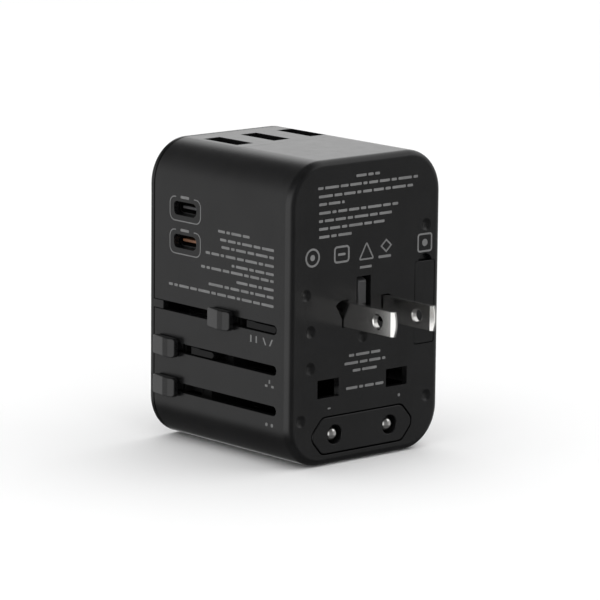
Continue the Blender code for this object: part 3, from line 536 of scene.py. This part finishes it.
def uk_holes():
    """Outlines of the three pin holes, a little larger than the pins."""
    holes = []
    for label in ("live", "neutral", "earth"):
        low, high = cad(f"uk_pin_{label}")
        centre = ((low.x + high.x) / 2, (low.z + high.z) / 2)
        width, height = high.x - low.x + UK_HOLE_PLAY, high.z - low.z + UK_HOLE_PLAY
        holes.append(rectangle(width, height, centre))
    return holes


def make_housing():
    """A thin shell with a rounded face edge, open towards the cover, with a lip behind the seam."""
    rim = SEAM_Y - SEAM_GAP
    inner = -WALL
    stations = round_end(FACE_Y, 1, FACE_EDGE_R, 8)
    stations += [(rim - 0.12, 0), (rim, -0.12), (rim, LIP_INSET)]
    stations += [(rim + LIP_REACH, LIP_INSET), (rim + LIP_REACH, inner), (FACE_Y + WALL, inner)]
    housing = stack("housing_shell", "Y", body_outline(), stations)
    join(housing, block("fuse_well", *FUSE_WELL))
    tools = []
    for name, z in SLOT_Z.items():
        outline = slot_outline(z, SLOT_HALF, SEAM_Y + 2, SLOT_END)
        tools.append(stack(f"{name}_slot_way", "X", outline, mouth(SIDE_X, 1, 0.12, 3)))
    for name, z in USB_C_Z.items():
        outline = rounded_box(8.5, 3.2, 1.2, (USB_C_Y, z))
        tools.append(stack(f"{name}_port_way", "X", outline, mouth(SIDE_X, 1, 0.18, 3)))
    for side in (-1, 1):
        for number, outline in enumerate(fan_outlines(side)):
            tools.append(stack(f"fan_{side}_{number}", "Y", outline, mouth(FACE_Y, 1, 0.05, 3, 2)))
    for number, outline in enumerate(uk_holes()):
        tools.append(stack(f"uk_hole_{number}", "Y", outline, mouth(FACE_Y, 1, 0.1, 3, 3)))
    tools.append(stack("block_way", "Y", grown(hexagon(), 0.3), mouth(FACE_Y, 1, 0.12, 3)))
    bowl = bowl_stations(FACE_Y, DIMPLE_R, DIMPLE_DEPTH)
    for number, centre in enumerate(DIMPLES):
        tools.append(stack(f"dimple_{number}", "Y", circle(DIMPLE_R, centre), bowl))
    tools += door_cutters()
    low = (-PANEL_HALF_W, PANEL_FRONT_Y, TOP_Z - WALL - 1)
    high = (PANEL_HALF_W, BACK_Y + 1, TOP_Z + 1)
    tools.append(block("panel_way", low, high))
    cut(housing, *tools)
    dress(housing, "root", MATERIALS["black"], "main_housing", slot="black_plastic")


def door_cutters():
    low, high = cad("spare_fuse_door")
    width, height = high.x - low.x + 0.5, high.z - low.z + 0.5
    centre = ((low.x + high.x) / 2, (low.z + high.z) / 2)
    outline = rounded_box(width, height, 0.75, centre)
    recess = stack("door_recess", "Y", outline, mouth(FACE_Y, 1, 0.1, 1.9, 2))
    pocket = block("fuse_pocket", *FUSE_POCKET)
    thumb = circle(NOTCH_R, (centre[0], high.z - 0.3))
    notch = stack("thumb_notch", "Y", thumb, mouth(FACE_Y, 1, 0.15, 1.5))
    return [recess, pocket, notch]


def make_fuse_door():
    low, high = cad("spare_fuse_door")
    centre = ((low.x + high.x) / 2, (low.z + high.z) / 2)
    outline = rounded_box(high.x - low.x + 0.26, high.z - low.z + 0.26, 0.65, centre)
    stations = round_end(low.y, 1, 0.18, 3) + [(high.y, 0)]
    door = stack("fuse_door", "Y", outline, stations)
    dress(door, "spare_door", MATERIALS["black"], "spare_fuse_door", slot="black_plastic")


def make_panel():
    """The top insert follows the body's roll and holds the three USB-A mouths."""
    stations = [(PANEL_FRONT_Y + FINE_GAP, 0), (SEAM_Y - FINE_GAP, 0)]
    panel = stack("charging_panel", "Y", body_outline(), stations)
    low = (-PANEL_HALF_W + FINE_GAP, 0, TOP_Z - WALL)
    high = (PANEL_HALF_W - FINE_GAP, BACK_Y, TOP_Z + 1)
    boolean(panel, "INTERSECT", [block("panel_form", low, high)])
    for number, x in enumerate(USB_A_X):
        outline = rectangle(*USB_A_OPENING, (x, USB_A_Y))
        cut(panel, stack(f"usb_a_way_{number}", "Z", outline, mouth(TOP_Z, -1, 0.12, 4, 3)))
    dress(panel, "root", MATERIALS["black"], "usb_a_panel", slot="black_plastic")


# ---------------------------------------------------------------- socket side
def socket_pole(side):
    """One pole of the universal socket: UK, US, AU and EU openings that run into each other."""
    tilt = Matrix.Rotation(math.radians(-30 * side), 2)
    slanted = []
    for u, v in rounded_box(2.2, 7.2, 0.5):
        point = Vector((u, v))
        point.rotate(tilt)
        slanted.append((point.x + side * 7.0, point.y + SOCKET_Z - 0.2))
    return [rounded_box(7.4, 4.7, 0.5, (side * 11.1, SOCKET_Z)),
            rounded_box(2.0, 7.3, 0.5, (side * 6.35, SOCKET_Z)),
            slanted, circle(2.6, (side * 9.5, SOCKET_Z))]


def make_cover():
    """The socket face, with the tongues that close the slider slots."""
    seam = SEAM_Y + SEAM_GAP
    stations = [(seam, -0.12), (seam + 0.12, 0)] + round_end(BACK_Y, -1, 0.3, 5)[::-1]
    cover = stack("socket_face_cover", "Y", body_outline(), stations)
    for name, z in SLOT_Z.items():
        low = (SIDE_X + 0.05, 21.2, z - SLOT_HALF + 0.1)
        high = (-22.8, SEAM_Y + 0.6, z + SLOT_HALF - 0.1)
        join(cover, block(f"{name}_tongue", low, high, 0.1, "Z"))
    outlines = socket_pole(-1) + socket_pole(1)
    outlines.append(rounded_box(*SOCKET_EARTH, 0.5, SOCKET_EARTH_CENTRE))
    outlines.append(rounded_box(8.3, 8.3, 0.9, DRAWER_CENTRE))
    outlines.append(circle(1.75, LIGHT_CENTRE))
    for number, outline in enumerate(outlines):
        cut(cover, stack(f"socket_way_{number}", "Y", outline, mouth(BACK_Y, -1, 0.25, 3)))
    dress(cover, "root", MATERIALS["black"], "socket_cover", slot="black_plastic")


def make_drawer():
    """The fuse drawer's cap has three grip ribs, and the cradle behind it stays with the cap."""
    inner_y = cad("fuse_drawer")[0].y
    centre = DRAWER_CENTRE
    stations = [(SEAM_Y - 0.15, 0)] + round_end(BACK_Y, -1, 0.3)[::-1]
    cap = stack("fuse_drawer_cap", "Y", rounded_box(8.0, 8.0, 0.8, centre), stations)
    for rib in (-1.6, 0.0, 1.6):
        groove = rounded_box(5.6, 0.7, 0.3, (centre[0], centre[1] + rib), 4)
        cut(cap, stack(f"groove_{rib}", "Y", groove, mouth(BACK_Y, -1, 0.12, 0.5)))
    cradle = block("cradle", (10.6, inner_y, 36.6), (17.4, SEAM_Y + 0.4, 39.8), 0.2, "Y")
    join(cap, cradle)
    trough = stack("trough", "Y", circle(FUSE_WAY_R, centre), [(inner_y + 0.6, 0), (24.1, 0)])
    cut(cap, trough)
    dress(cap, "drawer", MATERIALS["black"], "fuse_drawer", slot="black_plastic")


def make_light():
    stations = [(21, 0)] + round_end(BACK_Y, -1, 0.4)[::-1]
    lens = stack("charge_light", "Y", circle(1.5, LIGHT_CENTRE), stations)
    dress(lens, "root", MATERIALS["light"], "power_light", slot="light_pipe")


# ---------------------------------------------------------------- sliders
# How far a knob stands off the wall, along its length from socket end to plug end.
KNOB_HEIGHTS = ((4.35, 1.4), (4.1, 1.52), (-0.4, 2.28), (-0.55, 2.3), (-2.3, 2.3), (-2.45, 2.28),
                (-3.95, 1.85), (-4.2, 1.76), (-4.35, 1.6))


def between(points, along):
    """The value at a place along a falling row of (place, value) points."""
    for (start, first), (end, last) in zip(points, points[1:]):
        if start >= along >= end:
            return first + (last - first) * (start - along) / (start - end)
    return points[0][1] if along > points[0][0] else points[-1][1]


def make_knob(name):
    """A cap with a long ramp, a flat top and a short slope, on a stem with a flange inside."""
    low, high = cad(f"{name}_knob")
    y, z = (low.y + high.y) / 2, SLOT_Z[name]
    length, height = high.y - low.y, high.z - low.z
    shape = bmesh.new()
    edge = [(1 - 0.17 * (1 - math.sin(t)), 0.3 * (1 - math.cos(t))) for t in
            [math.radians(90) * (4 - k) / 4 for k in range(5)]]
    stations = sorted({(0.0, 0.0)} | {(level, -inset) for level, inset in edge})
    add_stack(shape, "X", rounded_box(length, height, 0.95, (y, z)), stations)
    for along, _ in KNOB_HEIGHTS[1:-1]:
        geometry = shape.verts[:] + shape.edges[:] + shape.faces[:]
        spot = Vector((0, (y + along) * MM, 0))
        bmesh.ops.bisect_plane(shape, geom=geometry, plane_co=spot, plane_no=(0, 1, 0), dist=1e-7)
    for vert in shape.verts:
        level = vert.co.x / MM
        tall = between(KNOB_HEIGHTS, vert.co.y / MM - y)
        vert.co.x = (SIDE_X - KNOB_BASE - level * (tall - KNOB_BASE)) * MM
    bmesh.ops.recalc_face_normals(shape, faces=shape.faces)
    knob = make_object(f"{name}_slider_button", shape)
    stem = block("stem", (-22.4, y - 3.0, z - 0.85), (SIDE_X - 0.3, y + 1.6, z + 0.85))
    flange = block("flange", (-22.5, y - 3.3, z - 2.0), (-21.7, y + 3.3, z + 2.0))
    join(knob, stem, flange)
    dress(knob, f"{name}_button", MATERIALS["knob"], f"{name}_knob", slot="knob_plastic", sharp=12)


STRIP_STEP = 3.4


def make_strip(name):
    """The strip that fills the slot ahead of the knob, with a low stretch next to the knob."""
    low, high = cad(f"{name}_slot_strip")
    half = (high.z - low.z) / 2
    outline = slot_outline(SLOT_Z[name], half, high.y, low.y)
    stations = round_end(low.x, 1, 0.15) + [(high.x, 0)]
    strip = stack(f"{name}_slot_filler", "X", outline, stations)
    step_low = (low.x - 1, high.y - STRIP_STEP, SLOT_Z[name] - half - 1)
    cut(strip, block("step", step_low, (low.x + 0.35, high.y + 1, SLOT_Z[name] + half + 1)))
    # The strip is black plastic; its darker material is painted shade from the slot.
    dress(strip, f"{name}_slider", MATERIALS["strip"], f"{name}_slot_strip", slot="black_plastic")


# ---------------------------------------------------------------- blades and pins
# A blade's thickness at its tip as a share of the full one, at the corners and at mid-height.
TIP_SHARE = 0.08
TIP_MIDDLE_SHARE = 0.42
TIP_TAPER = 1.3
TIP_BULGE = 0.5
BLADE_HOLE_R = 1.6
BLADE_HOLE_OFFSET = 5.8


def make_blade(label):
    """A flat blade with a tapered tip, a chamfered cross hole and its round shank."""
    low, high = cad(f"us_blade_{label}")
    x = (low.x + high.x) / 2
    tip, root, half = low.y, BLADE_ROOT_Y, BLADE_HALF_T
    bottom, top = BLADE_Z
    middle = (bottom + top) / 2
    outline = [(root, bottom), (root, top)]
    for k in range(17):
        part = 1 - k / 8
        outline.append((tip + TIP_BULGE * part * part, middle + part * (top - bottom - 0.16) / 2))
    shape = bmesh.new()
    edge = 0.09
    stations = [(-half, -edge), (-half + edge, 0), (half - edge, 0), (half, -edge)]
    add_stack(shape, "X", outline, stations)
    geometry = shape.verts[:] + shape.edges[:] + shape.faces[:]
    spot = Vector((0, (tip + TIP_TAPER) * MM, 0))
    bmesh.ops.bisect_plane(shape, geom=geometry, plane_co=spot, plane_no=(0, 1, 0), dist=1e-7)
    for vert in shape.verts:
        share = min(1.0, max(0.0, (vert.co.y / MM - tip) / TIP_TAPER))
        off_middle = (vert.co.z / MM - middle) / ((top - bottom) / 2)
        thin = TIP_SHARE + (TIP_MIDDLE_SHARE - TIP_SHARE) * (1 - off_middle * off_middle)
        vert.co.x = vert.co.x * (thin + (1 - thin) * share) + x * MM
    blade = make_object(f"us_au_blade_{label}", shape)
    axis = (x, BLADE_PIVOT_Z)
    shank = stack("shank", "Y", circle(SHANK_R, axis), [(root - 0.2, 0), (high.y, 0)])
    join(blade, shank)
    stations = [(high.y - 0.8, -0.2), (high.y - 0.6, 0), (high.y, 0)]
    join(blade, stack("collar", "Y", circle(COLLAR_R, axis), stations))
    rim, sunk = 0.3, half - 0.2
    flare = [(x - 2, rim), (x - half, rim), (x - sunk, 0), (x + sunk, 0), (x + half, rim), (x + 2, rim)]
    hole = circle(BLADE_HOLE_R, (tip + BLADE_HOLE_OFFSET, middle), 40)
    cut(blade, stack("cross_hole", "X", hole, flare))
    dress(blade, f"us_{label}", MATERIALS["blade"], f"us_blade_{label}", slot="nickel", sharp=8)


# Half the earth pin's width and height, each at a depth behind its tip.
EARTH_HALF_WIDTHS = ((4.0, 2.0), (3.2, 1.4), (0.3, 1.3), (0.0, 1.05))
EARTH_HALF_HEIGHTS = ((4.0, 3.85), (1.6, 3.7), (0.3, 3.0), (0.0, 2.6))


TANG_W = 2.2
TANG_L = 4.2


def make_earth_pin():
    """The longest pin. Its tip is narrow, with small chamfers at the sides."""
    low, high = cad("uk_pin_earth")
    centre = ((low.x + high.x) / 2, (low.z + high.z) / 2)
    root = high.y - TANG_L
    shape = bmesh.new()
    stations = [(low.y + depth, 0) for depth in (0.0, 0.3, 1.6, 3.2, 4.0)] + [(root, 0)]
    add_stack(shape, "Y", rounded_box(2, 2, 0.06, (0, 0), 3), stations)
    for vert in shape.verts:
        depth = vert.co.y / MM - low.y
        vert.co.x = centre[0] * MM + vert.co.x * between(EARTH_HALF_WIDTHS, depth)
        vert.co.z = centre[1] * MM + vert.co.z * between(EARTH_HALF_HEIGHTS, depth)
    pin = make_object("uk_prong_earth", shape)
    join(pin, stack("tang", "Y", rectangle(TANG_W, TANG_W, centre), [(root - 0.3, 0), (high.y, 0)]))
    dress(pin, "uk_slider", MATERIALS["earth"], "uk_pin_earth", slot="black_plastic", sharp=15)


PIN_TAPER = 1.4
PIN_LOST = 1.0
PIN_NARROWED = 0.5


def make_uk_pin(label):
    """A rectangular pin with a tapered tip and a square tang behind it."""
    low, high = cad(f"uk_pin_{label}")
    centre = ((low.x + high.x) / 2, (low.z + high.z) / 2)
    width, height = high.x - low.x, high.z - low.z
    root = high.y - TANG_L
    outline = rounded_box(width, height, 0.3, centre, 4)
    shape = bmesh.new()
    add_stack(shape, "Y", outline, [(low.y, -0.15), (low.y + 0.15, 0), (low.y + PIN_TAPER, 0), (root, 0)])
    for vert in shape.verts:
        share = min(1.0, max(0.0, (vert.co.y / MM - low.y) / PIN_TAPER))
        flat = 1 - 2 * PIN_LOST / height * (1 - share)
        slim = 1 - 2 * PIN_NARROWED / width * (1 - share)
        vert.co.z = (centre[1] + (vert.co.z / MM - centre[1]) * flat) * MM
        vert.co.x = (centre[0] + (vert.co.x / MM - centre[0]) * slim) * MM
    pin = make_object(f"uk_prong_{label}", shape)
    join(pin, stack("tang", "Y", rectangle(TANG_W, TANG_W, centre), [(root - 0.3, 0), (high.y, 0)]))
    dress(pin, "uk_slider", MATERIALS["nickel"], f"uk_pin_{label}", slot="nickel", sharp=15)


EU_ROOT_R = 1.5
EU_HOLE_R = 2.35


def make_eu_pin(label):
    """A round pin with a domed tip and a thinner root."""
    low, high = cad(f"eu_pin_{label}")
    radius = (high.x - low.x) / 2
    centre = ((low.x + high.x) / 2, EU_Z)
    shoulder = high.y - 4.8
    dome = []
    for k in range(13):
        turn = math.radians(90) * k / 12
        dome.append((low.y + radius * (1 - math.cos(turn)), radius * math.sin(turn) - radius))
    dome[0] = (low.y, 0.02 - radius)
    thinner = EU_ROOT_R - radius
    stations = dome + [(shoulder, 0), (shoulder + 0.02, thinner), (high.y, thinner)]
    pin = stack(f"eu_prong_{label}", "Y", circle(radius, centre, 40), stations)
    dress(pin, "eu_slider", MATERIALS["nickel"], f"eu_pin_{label}", slot="nickel")


def make_eu_block():
    """The hexagonal block that the EU pins come through."""
    stations = round_end(BLOCK_LOW.y, 1, 0.28) + [(BLOCK_HIGH.y - 0.3, 0), (BLOCK_HIGH.y, -0.3)]
    body = stack("eu_pin_block", "Y", hexagon(), stations)
    for label in ("left", "right"):
        low, high = cad(f"eu_pin_{label}")
        ring = circle(EU_HOLE_R, ((low.x + high.x) / 2, EU_Z), 40)
        through = mouth(BLOCK_LOW.y, 1, 0.2, BLOCK_HIGH.y - BLOCK_LOW.y + 1)
        cut(body, stack(f"eu_way_{label}", "Y", ring, through))
    dress(body, "eu_base", MATERIALS["black"], "eu_block", slot="black_plastic")


# ---------------------------------------------------------------- ports
def make_usb_c(name):
    """A rounded steel receptacle and its thin tongue with a row of contacts."""
    z = USB_C_Z[name]
    low, high = cad(f"usb_c_shell_{name}")
    outer = rounded_box(8.94, 3.26, 1.55, (USB_C_Y, z), 8)
    shell = stack(f"usb_c_receptacle_{name}", "X", outer, round_end(low.x, 1, 0.1, 2) + [(high.x, 0)])
    hollow = rounded_box(8.34, 2.56, 1.2, (USB_C_Y, z), 8)
    cut(shell, stack("inside", "X", hollow, [(low.x - 1, 0), (high.x - 0.3, 0)]))
    dress(shell, "root", MATERIALS["shell"], f"usb_c_shell_{name}", slot="steel")
    low, high = cad(f"usb_c_tongue_{name}")
    finish = ("orange", "orange_plastic") if name == "lower" else ("tongue", "grey_plastic")
    sides = rounded_box(high.y - low.y, high.z - low.z, 0.15, (USB_C_Y, z), 3)
    tongue = stack(f"usb_c_blade_{name}", "X", sides, round_end(low.x, 1, 0.12, 3) + [(high.x, 0)])
    dress(tongue, "root", MATERIALS[finish[0]], f"usb_c_tongue_{name}", slot=finish[1])
    shape = bmesh.new()
    for side in (-1, 1):
        for number in range(12):
            y = USB_C_Y + (number - 5.5) * 0.5
            face = z + side * (high.z - low.z) / 2
            pad = rectangle(0.25, 0.04, (y, face))
            add_stack(shape, "X", pad, [(low.x + 1.6, 0), (high.x, 0)])
    dress(make_object(f"usb_c_contacts_{name}", shape), "root", MATERIALS["gold"])


def make_usb_a(number):
    """An upright steel receptacle, its tongue and four contacts. The white plastic tongue is drawn in the
    inner plastic, darkened as painted shade.
    """
    low, high = cad(f"usb_a_shell_{number}")
    x = USB_A_X[number - 1]
    outer = rounded_box(high.x - low.x, high.y - low.y, 0.5, (x, USB_A_Y), 4)
    stations = [(low.z, 0)] + round_end(high.z, -1, 0.12, 2)[::-1]
    shell = stack(f"usb_a_receptacle_{number}", "Z", outer, stations)
    hollow = rounded_box(4.7, 12.2, 0.3, (x, USB_A_Y), 4)
    cut(shell, stack("inside", "Z", hollow, [(low.z + 0.6, 0), (high.z + 1, 0)]))
    dress(shell, "root", MATERIALS["shell"], f"usb_a_shell_{number}", slot="steel")
    low, high = cad(f"usb_a_tongue_{number}")
    tongue = block(f"usb_a_blade_{number}", low, high, 0.2, "Z")
    # The tongue takes the inner plastic darkened as painted shade, not its own white.
    dress(tongue, "root", MATERIALS["grey"], f"usb_a_tongue_{number}", slot="white_plastic")
    shape = bmesh.new()
    for place_y in (-3.5, -1.0, 1.0, 3.5):
        pad = rectangle(0.06, 1.0, (high.x, USB_A_Y + place_y))
        add_stack(shape, "Z", pad, [(low.z + 1, 0), (high.z - 0.8, 0)])
    dress(make_object(f"usb_a_contacts_{number}", shape), "root", MATERIALS["gold"])


# ---------------------------------------------------------------- prints
# Printed lines are (start, end, height) along the plug face and the slider side. Their bars take
# the lengths of WORDS in turn, with a gap between them.
WORDS = (3.3, 1.7, 4.4, 2.5, 3.7, 1.3, 2.9)
WORD_GAP = 0.55
BAR = 0.66
ON_FACE = [(FACE_Y, 0), (FACE_Y - PRINT, 0)]
ON_SIDE = [(SIDE_X, 0), (SIDE_X - PRINT, 0)]
FACE_LINES = ((-3.6, 4.0, 70.0), (-15.8, 16.5, 68.0), (-15.5, 14.9, 66.0), (-15.4, -7.3, 64.1),
              (-15.4, 10.1, 62.0), (-15.4, 8.1, 60.06), (-15.35, 5.7, 58.14), (-15.3, -4.9, 56.2),
              (-5.3, 4.9, 26.24), (-6.7, 6.6, 24.33), (-4.0, 3.8, 22.4), (-6.1, 6.1, 18.2))
SIDE_LINES = ((-20.4, 18.9, 39.7), (-20.4, 3.7, 41.8), (-20.4, -6.7, 43.65), (-20.4, 6.6, 45.75),
              (-20.4, -4.9, 47.4), (-20.4, 4.9, 49.4), (-20.4, -1.05, 51.45), (-20.4, -0.5, 53.25),
              (-11.45, 0.3, 55.24))


def add_words(shape, axis, start, end, z, stations, first=0):
    """A printed line as bars of word-like lengths, with no lettering."""
    at, number = start, first
    while at < end - 0.4:
        stop = min(at + WORDS[number % len(WORDS)], end)
        if end - stop < 1.2:
            stop = end
        bar = rounded_box(stop - at, BAR, 0.2, ((at + stop) / 2, z), 2)
        add_stack(shape, axis, bar, stations)
        at = stop + WORD_GAP
        number += 1


def add_face_frame(shape, outline, width):
    """A printed line round the inside of an outline on the plug face."""
    add_ring(shape, "Y", outline, grown(outline, -width), FACE_Y, FACE_Y - PRINT)


def make_face_print():
    """Printed lines on the plug face, and plain shapes where the real object has its marks."""
    shape = bmesh.new()
    for number, (start, end, z) in enumerate(FACE_LINES):
        add_words(shape, "Y", start, end, z, ON_FACE, number)
    add_face_frame(shape, circle(2.3, (-17.3, 51.5)), 0.5)
    add_stack(shape, "Y", circle(0.75, (-17.3, 51.5), 16), ON_FACE)
    add_face_frame(shape, rounded_box(5.0, 4.2, 1.0, (-8.0, 51.4)), 0.5)
    add_stack(shape, "Y", rounded_box(2.4, 0.6, 0.2, (-8.0, 51.4), 2), ON_FACE)
    triangle = rounded([(-2.6, 49.2), (2.6, 49.2), (0.0, 53.8)], 0.4, 4)
    add_face_frame(shape, triangle, 0.4)
    add_stack(shape, "Y", rectangle(3.8, 0.6, (-0.2, 47.5)), ON_FACE)
    diamond = [(6.4, 50.3), (8.3, 52.0), (6.4, 53.7), (4.5, 52.0)]
    add_face_frame(shape, diamond, 0.4)
    add_words(shape, "Y", 3.9, 8.0, 49.4, ON_FACE)
    add_face_frame(shape, rounded_box(4.9, 4.7, 0.8, (19.15, 51.35)), 0.45)
    add_stack(shape, "Y", circle(0.9, (19.15, 51.35), 20), ON_FACE)
    add_stack(shape, "Y", rectangle(0.9, 0.35, (-11.5, 14.1)), ON_FACE)
    add_stack(shape, "Y", circle(0.4, (11.25, 14.4), 16), ON_FACE)
    dress(make_object("plug_face_print", shape), "root", MATERIALS["ink"])


def port_frame(centre_y, z):
    """The outer and inner outlines of the line round a port."""
    outer = rounded_box(11.9, 6.15, 1.9, (centre_y, z), 6)
    return outer, grown(outer, -0.27)


def make_side_print():
    """Printed lines, port frames and small plug pictures on the slider side."""
    shape = bmesh.new()
    for number, (start, end, z) in enumerate(SIDE_LINES):
        add_words(shape, "X", start, end, z, ON_SIDE, number + 2)
    for x, z in ((-12.2, 30.75), (-14.2, 30.75)):
        add_stack(shape, "X", rectangle(0.5, 1.7, (x, z)), ON_SIDE)
    for x, lean in ((-17.2, 1), (-19.6, -1)):
        slanted = [(x - 0.25 - lean * 0.45, 29.9), (x + 0.25 - lean * 0.45, 29.9),
                   (x + 0.25 + lean * 0.45, 31.6), (x - 0.25 + lean * 0.45, 31.6)]
        add_stack(shape, "X", slanted, ON_SIDE)
    for x in (-18.0, -20.3):
        add_stack(shape, "X", rectangle(0.9, 0.55, (x, 20.1)), ON_SIDE)
    add_stack(shape, "X", rectangle(0.55, 0.9, (-19.15, 21.2)), ON_SIDE)
    for x in (-18.2, -20.2):
        add_stack(shape, "X", circle(0.45, (x, 10.63), 16), ON_SIDE)
    for z in USB_C_Z.values():
        add_words(shape, "X", 11.3, 14.5, z + 2.85, ON_SIDE)
    print_piece = make_object("side_print", shape)
    for number, z in enumerate(USB_C_Z.values()):
        ring = bmesh.new()
        outer, inner = port_frame(12.75, z - 0.15)
        add_ring(ring, "X", outer, inner, SIDE_X, SIDE_X - PRINT)
        line = make_object(f"frame_{number}", ring)
        gap = block("gap", (SIDE_X - 1, 9.44, z + 1.5), (SIDE_X + 1, 16.27, z + 4))
        join(print_piece, cut(line, gap))
    dress(print_piece, "root", MATERIALS["ink"])


# ---------------------------------------------------------------- studio
CAMERA_AZIMUTH = math.radians(-41.3)
CAMERA_ELEVATION = math.radians(10.77)
CAMERA_ROLL = math.radians(0.58)
CAMERA_DISTANCE = 986.12
CAMERA_LENS = 240.9
CAMERA_TARGET = Vector((-0.68, -3.44, 35.94))


def make_camera():
    data = bpy.data.cameras.new("camera")
    data.lens = CAMERA_LENS
    data.sensor_width = 36.0
    data.shift_x = -0.0033
    data.shift_y = 0.0004
    camera = bpy.data.objects.new("camera", data)
    bpy.context.scene.collection.objects.link(camera)
    level = math.cos(CAMERA_ELEVATION)
    sideways, ahead = math.sin(CAMERA_AZIMUTH) * level, -math.cos(CAMERA_AZIMUTH) * level
    back = Vector((sideways, ahead, math.sin(CAMERA_ELEVATION)))
    camera.location = (CAMERA_TARGET + back * CAMERA_DISTANCE) * MM
    camera.rotation_mode = "QUATERNION"
    camera.rotation_quaternion = (-back).to_track_quat("-Z", "Y") @ Quaternion((0, 0, 1), CAMERA_ROLL)
    data.clip_start = 0.01
    bpy.context.scene.camera = camera


def make_floor():
    """A pale floor that takes the object's shadow and stays out of its reflections."""
    shape = bmesh.new()
    bmesh.ops.create_grid(shape, x_segments=1, y_segments=1, size=4.0)
    floor = make_object("floor", shape)
    floor.location.z = -0.0001
    item, graph, shader, position = new_material("pale_floor")
    cloud = graph.spread(graph.noise(position, 200.0), 0.0, 1.0)
    tone = graph.blend(cloud, (0.92, 0.92, 0.92), (0.94, 0.94, 0.94))
    graph.tree.links.new(tone, shader.inputs["Base Color"])
    shader.inputs["Roughness"].default_value = 0.9
    shader.inputs["Specular IOR Level"].default_value = 0.0
    floor.data.materials.append(item)
    floor.visible_glossy = False


# How bright the studio is in each direction.
FRONT_RIGHT = 0.22
FRONT = 0.06
RIGHT = 0.35
BACK = 0.95
BACK_LEFT = 0.53
LEFT = 1.12
OVERHEAD = 0.8
CEILING = 0.09


def make_world():
    """A studio all round: a bright wall behind, a card on the left, and a light high on the right.

    The levels change with the compass direction, which is 0 to the right and a half turn to the left.
    The camera sees plain white.
    """
    world = bpy.data.worlds.new("studio")
    bpy.context.scene.world = world
    world.use_nodes = True
    graph = Graph(world.node_tree)
    background = world.node_tree.nodes["Background"]
    direction = graph.add("ShaderNodeTexCoord").outputs["Generated"]
    parts = graph.add("ShaderNodeSeparateXYZ", {0: direction}).outputs
    x, y, z = parts
    turn = graph.math("ARCTAN2", y, x)
    below_top = graph.spread(z, 1.0, 0.0, 0.2, 0.68)
    low = graph.math("MULTIPLY", below_top, graph.spread(z, 0.0, 1.0, -0.52, -0.28))
    level = graph.spread(turn, FRONT_RIGHT, FRONT, -0.9, -1.35)
    level = graph.math("ADD", level, graph.spread(turn, 0.0, RIGHT - FRONT_RIGHT, -0.6, -0.25))
    level = graph.math("ADD", level, graph.spread(turn, 0.0, BACK - RIGHT, 0.5, 0.85))
    level = graph.math("ADD", level, graph.spread(turn, 0.0, BACK_LEFT - BACK, 1.8, 2.12))
    level = graph.math("ADD", level, graph.spread(turn, 0.0, LEFT - BACK_LEFT, 2.4, 2.75))
    card = graph.spread(turn, LEFT, 0.0, -2.65, -1.95)
    level = graph.math("ADD", level, graph.math("MULTIPLY", card, graph.math("LESS_THAN", turn, -1.5)))
    side = graph.math("MULTIPLY", low, level)
    above = graph.spread(z, 0.0, 1.0, 0.25, 0.5)
    rightward = graph.spread(x, 0.0, OVERHEAD, 0.2, 0.65)
    level = graph.math("ADD", graph.math("ADD", side, graph.math("MULTIPLY", above, rightward)), CEILING)
    seen = graph.add("ShaderNodeLightPath").outputs["Is Camera Ray"]
    white = graph.math("MAXIMUM", level, seen)
    graph.tree.links.new(white, background.inputs["Color"])


def make_lights():
    """A wide soft light over the floor and a low one in front. Neither shows in a reflection."""
    data = bpy.data.lights.new("overhead", "AREA")
    data.shape = "DISK"
    data.size = 7.0
    data.energy = 118.0
    add_lamp("overhead", data, (0.0, 0.2, 2.0), (0.0, 0.2, 0.0))
    data = bpy.data.lights.new("low_front", "AREA")
    data.shape = "DISK"
    data.size = 0.7
    data.energy = 2.5
    add_lamp("low_front", data, (-0.4, -1.0, 0.3), (0.0, 0.0, 0.0))


def add_lamp(name, data, place, target):
    lamp = bpy.data.objects.new(name, data)
    bpy.context.scene.collection.objects.link(lamp)
    lamp.location = place
    lamp.rotation_mode = "QUATERNION"
    lamp.rotation_quaternion = (Vector(target) - Vector(place)).to_track_quat("-Z", "Y")
    lamp.visible_glossy = False
    lamp.visible_camera = False


# ---------------------------------------------------------------- build
dress_cad_nodes()
make_housing()
make_fuse_door()
make_panel()
make_cover()
make_drawer()
make_light()
for slider in ("us", "uk", "eu"):
    make_knob(slider)
for slider in ("us", "uk"):
    make_strip(slider)
for blade_label in ("left", "right"):
    make_blade(blade_label)
    make_eu_pin(blade_label)
make_uk_pin("live")
make_uk_pin("neutral")
make_earth_pin()
make_eu_block()
for port in ("upper", "lower"):
    make_usb_c(port)
for port_number in (1, 2, 3):
    make_usb_a(port_number)
make_face_print()
make_side_print()
make_floor()
make_world()
make_lights()
make_camera()
bpy.context.scene.view_settings.view_transform = "Standard"
